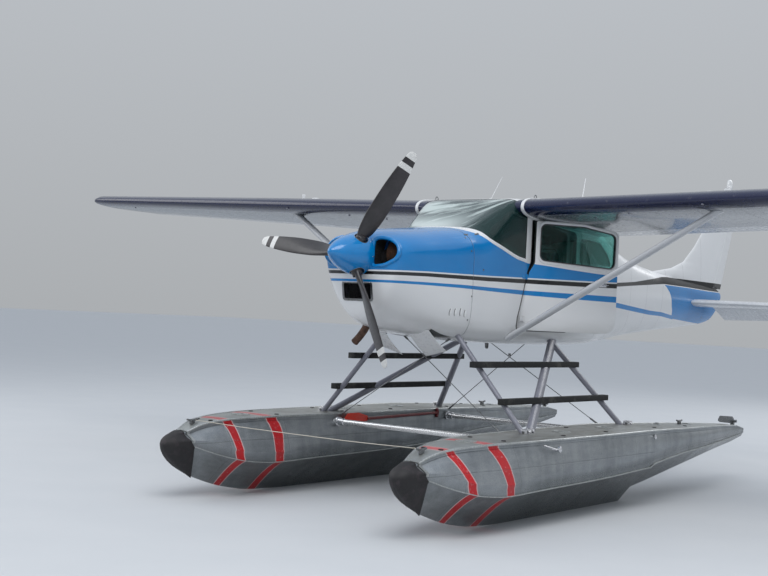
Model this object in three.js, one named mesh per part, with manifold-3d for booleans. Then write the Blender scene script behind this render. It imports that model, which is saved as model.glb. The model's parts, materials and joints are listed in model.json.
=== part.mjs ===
// High-wing single-engine floatplane on twin floats, parked with its port door open.
// Millimetres: X to port, Y aft, Z up. The keels of the floats stand on Z = 0.
// Inside the airframe group Y runs from the firewall and Z from the propeller axis.
import * as THREE from "three";
import { mergeVertices } from "three/addons/utils/BufferGeometryUtils.js";
import Module from "manifold-3d";

const wasm = await Module();
wasm.setup();

// Overall places
const BOW_Y = -2000;
const TAIL_Y = 7260;
const KEEL_Z = -2120;
const GAP = 0.3;
const RING_POINTS = 36;

// Cabin walls, doors and glass
const WALL = 40;
const FLOOR = 80;
const GLASS_OUT = 3;
const GLASS_IN = 9;
const SEAM = 6;
const DOOR_HINGE = { x: 578, y: 800 };
const DOOR_OPEN = 36;
const PIN = 7;
// Door hinges: height of the lower end, foremost y of the bracket
const DOOR_HINGES = [[-500, 620], [-110, 735]];

// Wing
const WING_ROOT_X = 500;
const WING_BREAK_X = 2600;
const WING_TIP_X = 5477;
const HINGE_FRACTION = 0.77;
const SURFACE_GAP = 8;

// Propeller and floats
const SPINNER_BASE_Y = -1010;
const SPINNER_TIP_Y = -1385;
const BLADE_RADIUS = 1007;
const BLADE_PLANE_Y = -1090;
const BLADE_ANGLE = 35.9;
const SHAFT = 40;
const FLOAT_X = 1190;
const STEP_Y = 1600;

// Tail
const ELEVATOR_DROOP = 25;
const RUDDER_GAP = 9;
const RUDDER_SWING = 24;

const COLOURS = {
  blue: [0x1468b4, 0.3, 0],
  white: [0xd9dadb, 0.35, 0],
  grey: [0x6f7377, 0.5, 0.3],
  aluminium: [0x9a9da0, 0.45, 0.9],
  bright: [0xd5d7d9, 0.25, 1],
  dark: [0x17181a, 0.6, 0],
  blade: [0x202225, 0.5, 0.2],
  iron: [0x3a3b3d, 0.7, 0.6],
  rust: [0x6b4534, 0.8, 0.5],
  glass: [0x9fb4b0, 0.05, 0],
  fabric: [0x33363b, 0.9, 0],
  rubber: [0x101112, 0.9, 0],
  orange: [0xd8401c, 0.5, 0],
};

const craft = new THREE.Group();
const airframe = new THREE.Group();
airframe.position.set(0, -(BOW_Y + TAIL_Y) / 2, -KEEL_Z);
craft.add(airframe);

// Closed geometry as a solid, and back
function solid(geometry) {
  const g = geometry.clone();
  g.deleteAttribute("normal");
  g.deleteAttribute("uv");
  const merged = mergeVertices(g, 1e-3);
  const faces = new Uint32Array(merged.index.array);
  const points = merged.attributes.position.array;
  const made = () => new wasm.Manifold(
    new wasm.Mesh({ numProp: 3, vertProperties: points, triVerts: faces }));
  const first = made();
  if (first.volume() > 0) return first;
  for (let i = 0; i < faces.length; i += 3) {
    [faces[i + 1], faces[i + 2]] = [faces[i + 2], faces[i + 1]];
  }
  return made();
}

function geometryOf(body) {
  const m = body.getMesh();
  const p = new Float32Array(m.numVert * 3);
  for (let i = 0; i < m.numVert; i += 1) {
    for (let k = 0; k < 3; k += 1) p[i * 3 + k] = m.vertProperties[i * m.numProp + k];
  }
  const g = new THREE.BufferGeometry();
  g.setAttribute("position", new THREE.BufferAttribute(p, 3));
  g.setIndex(new THREE.BufferAttribute(new Uint32Array(m.triVerts), 1));
  return g;
}

function mirrored(body) {
  const g = geometryOf(body);
  g.scale(-1, 1, 1);
  return solid(g);
}

// Body turned about an axis through a point
function turned(body, at, axis, degrees) {
  const m = new THREE.Matrix4().makeTranslation(at)
    .multiply(new THREE.Matrix4().makeRotationAxis(axis, THREE.MathUtils.degToRad(degrees)))
    .multiply(new THREE.Matrix4().makeTranslation(at.clone().negate()));
  return solid(geometryOf(body).applyMatrix4(m));
}

function place(name, body, colour, parent = airframe, offset = null) {
  const g = geometryOf(body);
  if (offset) g.translate(-offset.x, -offset.y, -offset.z);
  g.computeVertexNormals();
  const [color, roughness, metalness] = COLOURS[colour];
  const glassy = colour === "glass";
  const material = new THREE.MeshStandardMaterial({
    color, roughness, metalness, transparent: glassy, opacity: glassy ? 0.4 : 1 });
  const mesh = new THREE.Mesh(g, material);
  mesh.name = name;
  parent.add(mesh);
  return mesh;
}

// Skin over equal rings of points, alike to port and starboard, closed at both ends by a fan
function loft(rings) {
  const n = rings[0].length;
  const points = [];
  const faces = [];
  for (const ring of rings) for (const p of ring) points.push(p[0], p[1], p[2]);
  for (let i = 0; i < rings.length - 1; i += 1) {
    for (let j = 0; j < n; j += 1) {
      const a = i * n + j;
      const b = i * n + ((j + 1) % n);
      if (points[a * 3] + points[b * 3] >= 0) faces.push(a, b, b + n, a, b + n, a + n);
      else faces.push(a, b, a + n, b, b + n, a + n);
    }
  }
  for (const [row, flip] of [[0, true], [rings.length - 1, false]]) {
    const c = [0, 1, 2].map((k) => rings[row].reduce((s, p) => s + p[k], 0) / n);
    const hub = points.length / 3;
    points.push(...c);
    for (let j = 0; j < n; j += 1) {
      const a = row * n + j;
      const b = row * n + ((j + 1) % n);
      if (flip) faces.push(hub, b, a);
      else faces.push(hub, a, b);
    }
  }
  const g = new THREE.BufferGeometry();
  g.setAttribute("position", new THREE.Float32BufferAttribute(points, 3));
  g.setIndex(faces);
  return solid(g);
}

// Linear interpolation of the rows of a table by their first column
function rowAt(table, key) {
  let i = 0;
  while (i < table.length - 2 && table[i + 1][0] < key) i += 1;
  const [a, b] = [table[i], table[i + 1]];
  const t = (key - a[0]) / (b[0] - a[0]);
  return a.map((v, k) => v + (b[k] - v) * t);
}

// Outline across one axis, pushed through the other: pairs are (y, z), (x, z) or (x, y)
function prism(pairs, axis, from, to) {
  const shape = new THREE.Shape(pairs.map((p) => new THREE.Vector2(p[0], p[1])));
  const g = new THREE.ExtrudeGeometry(shape, { depth: to - from, bevelEnabled: false });
  const m = new THREE.Matrix4();
  if (axis === "x") m.set(0, 0, 1, from, 1, 0, 0, 0, 0, 1, 0, 0, 0, 0, 0, 1);
  if (axis === "y") m.set(1, 0, 0, 0, 0, 0, 1, from, 0, 1, 0, 0, 0, 0, 0, 1);
  if (axis === "z") m.set(1, 0, 0, 0, 0, 1, 0, 0, 0, 0, 1, from, 0, 0, 0, 1);
  g.applyMatrix4(m);
  return solid(g);
}

function box(x0, x1, y0, y1, z0, z1) {
  const g = new THREE.BoxGeometry(x1 - x0, y1 - y0, z1 - z0);
  g.translate((x0 + x1) / 2, (y0 + y1) / 2, (z0 + z1) / 2);
  return solid(g);
}

// Round corners of an outline: each row is a, b, radius
function rounded(rows, steps = 4) {
  const out = [];
  rows.forEach(([a, b, r], i) => {
    const p = new THREE.Vector2(a, b);
    if (!r) {
      out.push([a, b]);
      return;
    }
    const before = rows[(i + rows.length - 1) % rows.length];
    const after = rows[(i + 1) % rows.length];
    const u = new THREE.Vector2(before[0], before[1]).sub(p).normalize();
    const v = new THREE.Vector2(after[0], after[1]).sub(p).normalize();
    const half = Math.acos(THREE.MathUtils.clamp(u.dot(v), -1, 1)) / 2;
    const reach = r / Math.tan(half);
    const curve = new THREE.QuadraticBezierCurve(
      p.clone().addScaledVector(u, reach), p, p.clone().addScaledVector(v, reach));
    for (const q of curve.getPoints(steps)) out.push([q.x, q.y]);
  });
  return out;
}

// Outline moved inwards by d at every corner
function shrunk(pairs, d) {
  const area = THREE.ShapeUtils.area(pairs.map((p) => ({ x: p[0], y: p[1] })));
  const side = area > 0 ? 1 : -1;
  return pairs.map((p, i) => {
    const a = pairs[(i + pairs.length - 1) % pairs.length];
    const b = pairs[(i + 1) % pairs.length];
    const u = new THREE.Vector2(p[0] - a[0], p[1] - a[1]).normalize();
    const v = new THREE.Vector2(b[0] - p[0], b[1] - p[1]).normalize();
    const m = new THREE.Vector2(-(u.y + v.y), u.x + v.x);
    const k = side * d * 2 / Math.max(m.lengthSq(), 0.5);
    return [p[0] + m.x * k, p[1] + m.y * k];
  });
}

// Bar with an oval section between two points, its long side near the Y axis
function strut(p, q, chord, thick, sides = 12) {
  const a = new THREE.Vector3(...p);
  const b = new THREE.Vector3(...q);
  const along = b.clone().sub(a).normalize();
  const fore = new THREE.Vector3(0, 1, 0);
  if (Math.abs(along.y) > 0.9) fore.set(0, 0, 1);
  fore.addScaledVector(along, -fore.dot(along)).normalize();
  const side = new THREE.Vector3().crossVectors(along, fore);
  const ring = (c) => [...Array(sides)].map((_, i) => {
    const t = (i / sides) * 2 * Math.PI;
    return c.clone().addScaledVector(fore, Math.cos(t) * chord / 2)
      .addScaledVector(side, Math.sin(t) * thick / 2).toArray();
  });
  return loft([ring(a), ring(b)]);
}

// Cone frustum between two points
function cone(p, q, r0, r1, sides = 16) {
  const a = new THREE.Vector3(...p);
  const b = new THREE.Vector3(...q);
  const g = new THREE.CylinderGeometry(r1, r0, a.distanceTo(b), sides);
  const up = new THREE.Vector3(0, 1, 0);
  g.applyQuaternion(new THREE.Quaternion().setFromUnitVectors(up, b.clone().sub(a).normalize()));
  g.translate(...a.add(b).multiplyScalar(0.5).toArray());
  return solid(g);
}

// Fuselage: station y, half width, height of the widest line, top, bottom,
// roundness above and below (2 is an ellipse, large is square)
const FUSELAGE = [
  [-1000, 262, 0, 92, -300, 2.3, 1.8],
  [-975, 345, 0, 138, -430, 2.3, 1.7],
  [-930, 395, 0, 175, -545, 2.4, 1.65],
  [-800, 425, 0, 220, -596, 2.5, 1.95],
  [-400, 462, 0, 270, -648, 2.7, 3.8],
  [0, 500, 0, 312, -675, 3.0, 6],
  [190, 508, 0, 334, -690, 3.2, 6],
  [440, 530, 0, 520, -700, 4.6, 6],
  [680, 552, 0, 684, -706, 7, 6],
  [850, 560, 0, 700, -708, 8, 6],
  [1700, 560, 0, 688, -706, 8, 6],
  [2250, 540, 0, 585, -698, 6, 5.4],
  [2750, 468, 0, 420, -672, 4, 4.2],
  [3500, 365, 0, 270, -604, 2.8, 3.2],
  [4540, 250, -20, 170, -518, 2.3, 2.6],
  [5400, 160, -40, 115, -461, 2.2, 2.2],
  [6300, 82, -80, 78, -360, 2, 2],
  [6500, 58, -80, 66, -250, 2, 2],
  [6640, 34, -50, 20, -90, 2, 2],
];

function fuselageRing(y, inset, floor = inset) {
  const [, w, zw, top, bottom, nt, nb] = rowAt(FUSELAGE, y);
  return [...Array(RING_POINTS)].map((_, i) => {
    const t = (i / RING_POINTS) * 2 * Math.PI;
    const [c, s] = [Math.cos(t), Math.sin(t)];
    const n = s >= 0 ? nt : nb;
    const high = s >= 0 ? top - zw - inset : zw - bottom - floor;
    const x = (w - inset) * Math.sign(c) * Math.abs(c) ** (2 / n);
    return [x, y, zw + high * Math.sign(s) * Math.abs(s) ** (2 / n)];
  });
}

function fuselage(y0, y1, inset = 0, floor = inset) {
  const inner = FUSELAGE.map((r) => r[0]).filter((y) => y > y0 + 1 && y < y1 - 1);
  return loft([y0, ...inner, y1].map((y) => fuselageRing(y, inset, floor)));
}

const SKIN = fuselage(-1000, 6640, -GAP);
const CABIN_END = 2750;

// Side outlines: station y, height z, corner radius
const DOOR = rounded([
  [864, 450, 20], [1720, 398, 60], [1720, -575, 110], [700, -575, 90], [690, -456, 30],
  [812, -30, 60], [864, 60, 40],
]);
const DOOR_WINDOW = rounded([
  [945, 398, 55], [1662, 350, 55], [1655, 92, 60], [940, 92, 60],
]);
const QUARTER_WINDOW = rounded([
  [1800, 350, 50], [2240, 335, 120], [2470, 225, 90], [2600, 118, 25], [1800, 100, 50],
]);
const WINDSHIELD = [
  [60, 360], [190, 331], [232, 297], [320, 192], [430, 140], [600, 85], [838, 62],
  [838, 478], [700, 585], [655, 640], [650, 800], [60, 800],
];
const REAR_WINDOW = [[2290, 560], [2700, 424], [2740, 900], [2290, 900]];

// Cabin
const cabinOuter = fuselage(0, CABIN_END);
const cabinInner = fuselage(12, CABIN_END - 12, WALL, FLOOR);
const doorHole = prism(DOOR, "x", 250, 700);
const quarterHole = prism(QUARTER_WINDOW, "x", 250, 700);
const rearPane = prism(REAR_WINDOW, "x", -330, 330);
let cabin = cabinOuter.subtract(cabinInner);
for (const hole of [doorHole, quarterHole]) {
  cabin = cabin.subtract(hole).subtract(mirrored(hole));
}
cabin = cabin.subtract(prism(WINDSHIELD, "x", -700, 700)).subtract(rearPane);
for (const [z, fore] of DOOR_HINGES) {
  const pin = cone([DOOR_HINGE.x, DOOR_HINGE.y, z], [DOOR_HINGE.x, DOOR_HINGE.y, z + 66], PIN, PIN);
  const arm = box(DOOR_HINGE.x - 9, DOOR_HINGE.x + 12, fore, DOOR_HINGE.y + 12, z, z + 18)
    .add(box(470, DOOR_HINGE.x + 12, fore, fore + 50, z, z + 18));
  const bracket = pin.add(arm).subtract(cabinInner);
  cabin = cabin.add(bracket).add(mirrored(bracket));
}
place("cabin_shell", cabin, "white");

// Glass follows the skin, a little inside it
const glassSkin = fuselage(20, CABIN_END - 1, GLASS_OUT).subtract(
  fuselage(19, CABIN_END, GLASS_IN));
const pane = (outline, from, to, margin = 1) => glassSkin.intersect(
  prism(shrunk(outline, margin), "x", from, to));
place("windshield", pane(WINDSHIELD, -700, 700), "glass");
place("rear_window", pane(REAR_WINDOW, -329, 329), "glass");
const quarter = pane(QUARTER_WINDOW, 250, 700);
place("quarter_window_port", quarter, "glass");
place("quarter_window_starboard", mirrored(quarter), "glass");

// Doors, the port one turned open about its upright hinge line
const doorSkin = cabinOuter.subtract(cabinInner);
let door = doorSkin.intersect(prism(shrunk(DOOR, SEAM), "x", 250, 700))
  .subtract(prism(DOOR_WINDOW, "x", 250, 700));
for (const row of DOOR_HINGES) {
  const [low, high] = [24, 70].map((up) => [DOOR_HINGE.x, DOOR_HINGE.y, row[0] + up]);
  const arm = box(563, DOOR_HINGE.x + 6, DOOR_HINGE.y + 4, 870, row[0] + 30, row[0] + 64)
    .add(box(530, DOOR_HINGE.x, 826, 870, row[0] + 30, row[0] + 64));
  door = door.add(arm).add(cone(low, high, 15, 15));
}
door = door.subtract(cone([DOOR_HINGE.x, DOOR_HINGE.y, -600], [DOOR_HINGE.x, DOOR_HINGE.y, 200],
  PIN + 0.6, PIN + 0.6));
const doorGlass = pane(DOOR_WINDOW, 250, 700);
const hingeAt = new THREE.Vector3(DOOR_HINGE.x, DOOR_HINGE.y, 0);
const openDoor = new THREE.Group();
openDoor.position.copy(hingeAt);
openDoor.rotation.z = THREE.MathUtils.degToRad(-DOOR_OPEN);
airframe.add(openDoor);
place("door_port", door, "white", openDoor, hingeAt);
place("door_window_port", doorGlass, "glass", openDoor, hingeAt);
place("door_starboard", mirrored(door), "white");
place("door_window_starboard", mirrored(doorGlass), "glass");

// Tail cone, hollow and open towards the cabin
const TUBE = { y: 6060, z: -150, r: 22 };
const STAB = { tipX: 1780, z: -150 };
let tail = fuselage(CABIN_END + GAP, 6640).subtract(fuselage(CABIN_END - 1, 5900, 16));
tail = tail.subtract(cone([-300, TUBE.y, TUBE.z], [300, TUBE.y, TUBE.z], TUBE.r + 0.9, TUBE.r + 0.9));
const rudderPin = (grow) => cone([0, 6313, -12], [0, 6412, 170 + grow], PIN + grow, PIN + grow, 12);
tail = tail.add(rudderPin(0));
place("tail_cone", tail, "white");

// Cowling with its inlets and outlets
const INLET = rounded([
  [200, 118, 40], [330, 122, 70], [392, 30, 60], [372, -88, 40], [210, -80, 40],
], 3);
const EXHAUST = {
  from: [-60, -750, -500], to: [-175, -750, -742], mouth: [-132, -750, -651.5],
  past: [-179, -750, -750.4], r: 28,
};
const AIR_BOX = [[-120, -236], [120, -236], [120, -382], [-120, -382]];
const OUTLET = [[125, -380], [345, -380], [345, -40], [125, -40]];
let cowl = fuselage(-1000, -GAP).subtract(fuselage(-986, 10, 12));
const inlet = prism(INLET, "y", -1100, -880);
const outlet = prism(OUTLET, "z", -900, -300);
for (const hole of [inlet, outlet]) cowl = cowl.subtract(hole).subtract(mirrored(hole));
cowl = cowl.subtract(prism(AIR_BOX, "y", -1100, -800));
cowl = cowl.subtract(cone([0, -1050, 0], [0, -900, 0], 62, 62, 20));
cowl = cowl.subtract(cone(EXHAUST.from, EXHAUST.to, EXHAUST.r + 0.9, EXHAUST.r + 0.9));
place("cowling", cowl, "blue");

const engine = box(-330, 330, -830, -60, -330, 120)
  .add(box(-200, 200, -900, -GAP, -430, 60))
  .add(box(-105, 105, -912, -800, -370, -245))
  .intersect(fuselage(-980, -GAP, 24))
  .add(cone([0, -880, 0], [0, SPINNER_BASE_Y - 40, 0], SHAFT, SHAFT, 28));
place("engine_block", engine, "iron");
const pipe = cone(EXHAUST.from, EXHAUST.to, EXHAUST.r, EXHAUST.r)
  .subtract(cone(EXHAUST.mouth, EXHAUST.past, EXHAUST.r - 4, EXHAUST.r - 4));
place("exhaust_pipe", pipe, "rust");

// Cowl flaps: plates hanging open at the outlets
const flapRing = (d) => [
  [130, -412, -630 - d], [340, -412, -600 - d], [340, -125, -777 - d], [130, -125, -834 - d]];
const cowlFlap = loft([flapRing(0), flapRing(7)]).subtract(SKIN);
place("cowl_flap_port", cowlFlap, "white");
place("cowl_flap_starboard", mirrored(cowlFlap), "white");

// Cabin fittings
const panelFront = fuselage(250, 290, WALL + GAP, FLOOR + GAP)
  .intersect(box(-520, 520, 240, 300, -60, 300));
place("instrument_panel", panelFront.add(
  fuselage(292, 330, WALL + 90, 200).intersect(box(-420, 420, 285, 330, 20, 240))
    .add(box(-60, 60, 285, 300, 40, 100))), "dark");
// Seats: name, x0, x1, y0, y1, top of cushion, top of back
const SEATS = [
  ["front_seat_port", 45, 485, 930, 1400, -250, 250],
  ["front_seat_starboard", -485, -45, 930, 1400, -250, 250],
  ["rear_seat", -480, 480, 1790, 2200, -270, 130],
];
const cabinRoom = fuselage(20, CABIN_END - 20, WALL + 8, FLOOR + GAP);
for (const [name, x0, x1, y0, y1, zc, zb] of SEATS) {
  const cushion = prism(rounded([
    [y0, zc - 120, 20], [y1, zc - 120, 20], [y1 + 130, zb, 40], [y1 + 30, zb, 40],
    [y1 - 60, zc, 10], [y0, zc, 40],
  ]), "x", x0, x1);
  const legs = box(x0 + 60, x1 - 60, y0 + 60, y1 - 60, -640, zc - 110);
  place(name, cushion.add(legs).intersect(cabinRoom), "fabric");
}

// Wing section: fraction of chord, upper and lower heights as fractions of chord
const AIRFOIL = [
  [0.0125, 0.0215, -0.0165], [0.05, 0.0413, -0.0301], [0.12, 0.0605, -0.0400],
  [0.25, 0.0767, -0.0422], [0.40, 0.0780, -0.0380], [0.60, 0.0636, -0.0276],
  [0.77, 0.0412, -0.0170], [0.90, 0.0200, -0.0085], [1, 0.0026, -0.0020],
];
// Wing stations: x, leading edge y, leading edge z, chord, incidence in degrees, thickness
const WING = [
  [WING_ROOT_X, 615, 552, 1632, 5.2, 1],
  [WING_BREAK_X, 663, 613, 1585, 4.6, 1],
  [5380, 726, 695, 1130, 3.4, 1],
  [5440, 745, 694, 1080, 3.4, 0.82],
  [WING_TIP_X, 800, 690, 950, 3.4, 0.3],
];

function wingPoint([, ly, lz, chord, deg], fraction, height) {
  const a = THREE.MathUtils.degToRad(deg);
  const [u, v] = [fraction * chord, height * chord];
  return [ly + u * Math.cos(a) + v * Math.sin(a), lz - u * Math.sin(a) + v * Math.cos(a)];
}

function wingRing(row, grow) {
  const pairs = [[0, 0]];
  for (const [f, up] of AIRFOIL) pairs.push([f, up * row[5] + grow / row[3]]);
  for (const [f, , low] of [...AIRFOIL].reverse()) pairs.push([f, low * row[5] - grow / row[3]]);
  return pairs.map(([f, h]) => [row[0], ...wingPoint(row, f, h)]);
}

const wingLoft = (grow = 0) => loft(WING.map((row) => wingRing(row, grow)));

// Movable surfaces: name, inner x, outer x, x of the end that holds the pin
const SURFACES = [["flap", 640, 2585, 640], ["aileron", 2600, 5230, 5230]];
const hingeOf = (x) => {
  const row = rowAt(WING, x);
  const height = (0.0412 - 0.0170) / 2;
  return [x, ...wingPoint(row, HINGE_FRACTION, height)];
};
const noseOf = (x) => rowAt(WING, x)[3] * (0.0412 + 0.0170) / 2;
let wing = wingLoft().subtract(SKIN);
const movable = [];
for (const [name, x0, x1, xp] of SURFACES) {
  const pin = (grow) => cone(
    hingeOf(xp - 40 - grow), hingeOf(xp + 40 + grow), PIN + grow, PIN + grow, 12);
  const cut = (from, to, grow, back) => {
    const [a, b] = [hingeOf(from), hingeOf(to)];
    const barrel = cone(a, b, noseOf(from) + grow, noseOf(to) + grow, 20);
    const slab = prism([
      [from, a[1] + back], [to, b[1] + back], [to, 2600], [from, 2600],
    ], "z", 200, 900);
    return barrel.add(slab);
  };
  wing = wing.subtract(cut(x0 - SURFACE_GAP, x1 + SURFACE_GAP, SURFACE_GAP, 0)).add(pin(0));
  movable.push([name, wingLoft().intersect(cut(x0, x1, -0.5, 0)).subtract(pin(0.6))]);
}
place("wing_port", wing, "white");
place("wing_starboard", mirrored(wing), "white");
for (const [name, body] of movable) {
  place(name + "_port", body, "white");
  place(name + "_starboard", mirrored(body), "white");
}

// Wing struts from the lower cabin corner to the wing
const liftStrut = strut([470, 666, -655], [2470, 941, 597], 125, 50, 16)
  .subtract(SKIN).subtract(wingLoft(GAP));
place("wing_strut_port", liftStrut, "grey");
place("wing_strut_starboard", mirrored(liftStrut), "grey");

// Fin levels: z, leading edge y, half thickness at the hinge
const FIN = [
  [40, 4480, 44], [172, 4560, 42], [250, 5150, 41], [346, 5489, 39],
  [559, 5808, 35], [724, 5992, 32], [1340, 6645, 21], [1400, 6730, 12],
];
const FIN_HINGE = { low: 6341, slope: 0.5478, z: 40 };
const RUDDER_TAIL = [[40, 6678], [805, 7004], [1388, TAIL_Y]];
const finHinge = (z) => FIN_HINGE.low + (z - FIN_HINGE.z) * FIN_HINGE.slope;
const finRing = ([z, lead, half]) => {
  const run = finHinge(z) - lead;
  const side = [[0, 0], [0.08, 0.4], [0.3, 0.85], [0.65, 1.05], [1, 1]];
  const port = side.map(([f, t]) => [half * t, lead + run * f, z]);
  return [...port, ...port.slice(1).reverse().map(([x, y]) => [-x, y, z])];
};
const hingeBarrel = cone([0, finHinge(-60), -60], [0, finHinge(1500), 1500],
  46 + RUDDER_GAP, 19 + RUDDER_GAP, 20);
const fin = loft(FIN.map(finRing)).subtract(SKIN).subtract(hingeBarrel);
place("fin", fin, "white");

// Rudder: round nose about its raked hinge line
const rudderRings = [60, 346, 724, 1340, 1388].map((z) => {
  const hinge = finHinge(z);
  const [, rear] = rowAt(RUDDER_TAIL, z);
  const half = rowAt(FIN, z)[2];
  return [[0, hinge - half * 0.9, z], [half * 0.72, hinge - half * 0.6, z], [half, hinge, z],
    [3, rear, z], [-3, rear, z], [-half, hinge, z], [-half * 0.72, hinge - half * 0.6, z]];
});
let rudder = loft(rudderRings).subtract(rudderPin(0.6));
const tailTop = fuselage(6000, 6640, -RUDDER_GAP);
const rudderFoot = new THREE.Vector3(0, FIN_HINGE.low, FIN_HINGE.z);
const rudderAxis = new THREE.Vector3(0, FIN_HINGE.slope, 1).normalize();
for (let swing = -RUDDER_SWING; swing <= RUDDER_SWING; swing += RUDDER_SWING / 4) {
  rudder = rudder.subtract(turned(tailTop, rudderFoot, rudderAxis, swing));
}
place("rudder", rudder, "white");

// Stabilizer halves: x, leading edge y, half thickness
const STAB_ROWS = [[60, 5428, 46], [1700, 5711, 34], [STAB.tipX, 5790, 12]];
const stabRing = ([x, lead, half], back) => {
  const run = back - lead;
  const side = [[0, 0], [0.06, 0.45], [0.25, 0.9], [0.55, 1.05], [1, 0.8]];
  const top = side.map(([f, t]) => [x, lead + run * f, STAB.z + half * t]);
  const low = side.slice(1).reverse().map(([f, t]) => [x, lead + run * f, STAB.z - half * t]);
  return [...top, ...low];
};
const stabilizer = loft(STAB_ROWS.map((r) => stabRing(r, TUBE.y - 46))).subtract(SKIN);
place("stabilizer_port", stabilizer, "white");
place("stabilizer_starboard", mirrored(stabilizer), "white");

// Elevator: both halves on one tube, hanging at its lower stop
const ELEVATOR_ROWS = [[175, 36, 448], [1700, 28, 360], [1775, 14, 320]];
const elevatorRing = ([x, half, chord]) => [
  [x, -half * 0.95, 0], [x, -half * 0.7, half * 0.7], [x, 0, half], [x, chord, 3],
  [x, chord, -3], [x, 0, -half], [x, -half * 0.7, -half * 0.7]];
const elevatorHalf = loft(ELEVATOR_ROWS.map(elevatorRing));
const elevator = elevatorHalf.add(mirrored(elevatorHalf))
  .add(cone([-190, 0, 0], [190, 0, 0], TUBE.r, TUBE.r));
const elevatorGroup = new THREE.Group();
elevatorGroup.position.set(0, TUBE.y, TUBE.z);
elevatorGroup.rotation.x = THREE.MathUtils.degToRad(-ELEVATOR_DROOP);
airframe.add(elevatorGroup);
place("elevator", elevator, "white", elevatorGroup);

// Propeller: spinner profile as radius and y, blade rows as radius, chord, thickness, pitch
const SPINNER = [
  [0, SPINNER_TIP_Y], [42, -1372], [95, -1315], [140, -1225], [166, -1130], [176, -1050],
  [178, SPINNER_BASE_Y], [0, SPINNER_BASE_Y],
];
const lathe = new THREE.LatheGeometry(
  SPINNER.map(([r, y]) => new THREE.Vector2(r, y)), 28);
const spinner = solid(lathe).subtract(
  cone([0, SPINNER_BASE_Y + 5, 0], [0, SPINNER_BASE_Y - 42, 0], SHAFT + 0.6, SHAFT + 0.6, 28));
place("spinner", spinner, "blue");
const BLADE = [
  [120, 105, 62, 62], [230, 150, 40, 50], [420, 182, 26, 36], [680, 176, 17, 27],
  [900, 138, 11, 22], [985, 92, 8, 20], [BLADE_RADIUS, 40, 6, 20],
];
const spinnerClear = solid(new THREE.LatheGeometry(SPINNER.map(
  ([r, y]) => new THREE.Vector2(r ? r + GAP : 0, y - (r < 150 ? GAP : 0))), 28));
const bladeRings = BLADE.map(([r, chord, thick, pitch]) => {
  const a = THREE.MathUtils.degToRad(pitch);
  return [...Array(12)].map((_, i) => {
    const t = (i / 12) * 2 * Math.PI;
    const [u, v] = [Math.cos(t) * chord / 2, Math.sin(t) * thick / 2];
    return [u * Math.cos(a) - v * Math.sin(a),
      BLADE_PLANE_Y + u * Math.sin(a) + v * Math.cos(a), r];
  });
});
const oneBlade = geometryOf(loft(bladeRings));
for (const [i, name] of ["blade_1", "blade_2", "blade_3"].entries()) {
  const g = oneBlade.clone();
  g.rotateY(THREE.MathUtils.degToRad(BLADE_ANGLE + 120 * i));
  place(name, solid(g).subtract(spinnerClear), "blade");
}

// Float sections: y, half width at the chine, keel z, chine z, half width at the deck,
// deck edge z, deck crown z
const FLOAT = [
  [-1935, 62, -1745, -1660, 42, -1590, -1582],
  [-1757, 140, -1880, -1665, 90, -1545, -1525],
  [-1530, 235, -1975, -1712, 175, -1470, -1440],
  [-1264, 310, -2050, -1765, 250, -1436, -1404],
  [-900, 345, -2105, -1795, 320, -1420, -1388],
  [-500, 350, KEEL_Z, -1800, 330, -1420, -1386],
  [STEP_Y, 350, KEEL_Z, -1780, 330, -1430, -1398],
  [STEP_Y + 0.01, 345, -2030, -1735, 330, -1430, -1398],
  [2400, 295, -1935, -1702, 265, -1450, -1420],
  [3700, 135, -1765, -1645, 120, -1487, -1465],
  [4310, 62, -1690, -1610, 60, -1522, -1508],
  [4590, 26, -1645, -1600, 24, -1560, -1552],
];
const floatRing = ([y, wc, zk, zc, wd, zd, zt], grow) => {
  const half = [
    [0, zk - grow], [wc * 0.55, zk + (zc - zk) * 0.62 - grow], [wc + grow, zc - grow * 0.5],
    [wc + grow, zc + 12], [wd + grow, zd - 10], [wd * 0.9, zd + (zt - zd) * 0.35 + grow],
    [wd * 0.5, zd + (zt - zd) * 0.85 + grow], [0, zt + grow]];
  const other = half.slice(1, -1).reverse().map(([x, z]) => [-x, z]);
  return [...half, ...other].map(([x, z]) => [FLOAT_X + x, y, z]);
};
const floatLoft = (grow = 0) => loft(FLOAT.map((row, i) => {
  const end = i === 0 ? -grow : i === FLOAT.length - 1 ? grow : 0;
  return floatRing([row[0] + end, ...row.slice(1)], grow);
}));
const floatClear = floatLoft(GAP);
const floatHull = floatLoft();
place("float_port", floatHull, "aluminium");
place("float_starboard", mirrored(floatHull), "aluminium");

const ball = new THREE.SphereGeometry(1, 16, 10);
ball.scale(80, 95, 95);
ball.translate(FLOAT_X, -1905, -1665);
const bumper = solid(ball).subtract(floatClear).decompose()
  .sort((a, b) => b.volume() - a.volume())[0];
place("bow_bumper_port", bumper, "rubber");
place("bow_bumper_starboard", mirrored(bumper), "rubber");

// Struts between the cabin and the port float: name, upper end, lower end, chord, thickness
const STRUTS = [
  ["front_float_strut", [372, -34, -617], [1115, -19, -1456], 66, 40],
  ["rear_float_strut", [435, 1416, -605], [1120, 1898, -1512], 90, 42],
  ["diagonal_float_strut", [452, 1538, -630], [1130, 0, -1479], 92, 44],
];
const truss = new Map();
let taken = SKIN.add(floatClear);
for (const [name, p, q, chord, thick] of STRUTS) {
  const bar = strut(p, q, chord, thick).subtract(taken).decompose()
    .sort((a, b) => b.volume() - a.volume())[0];
  truss.set(name, bar);
  taken = taken.add(strut(p, q, chord + 2 * GAP, thick + 2 * GAP));
  place(name + "_port", bar, "grey");
  place(name + "_starboard", mirrored(bar), "grey");
}

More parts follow.
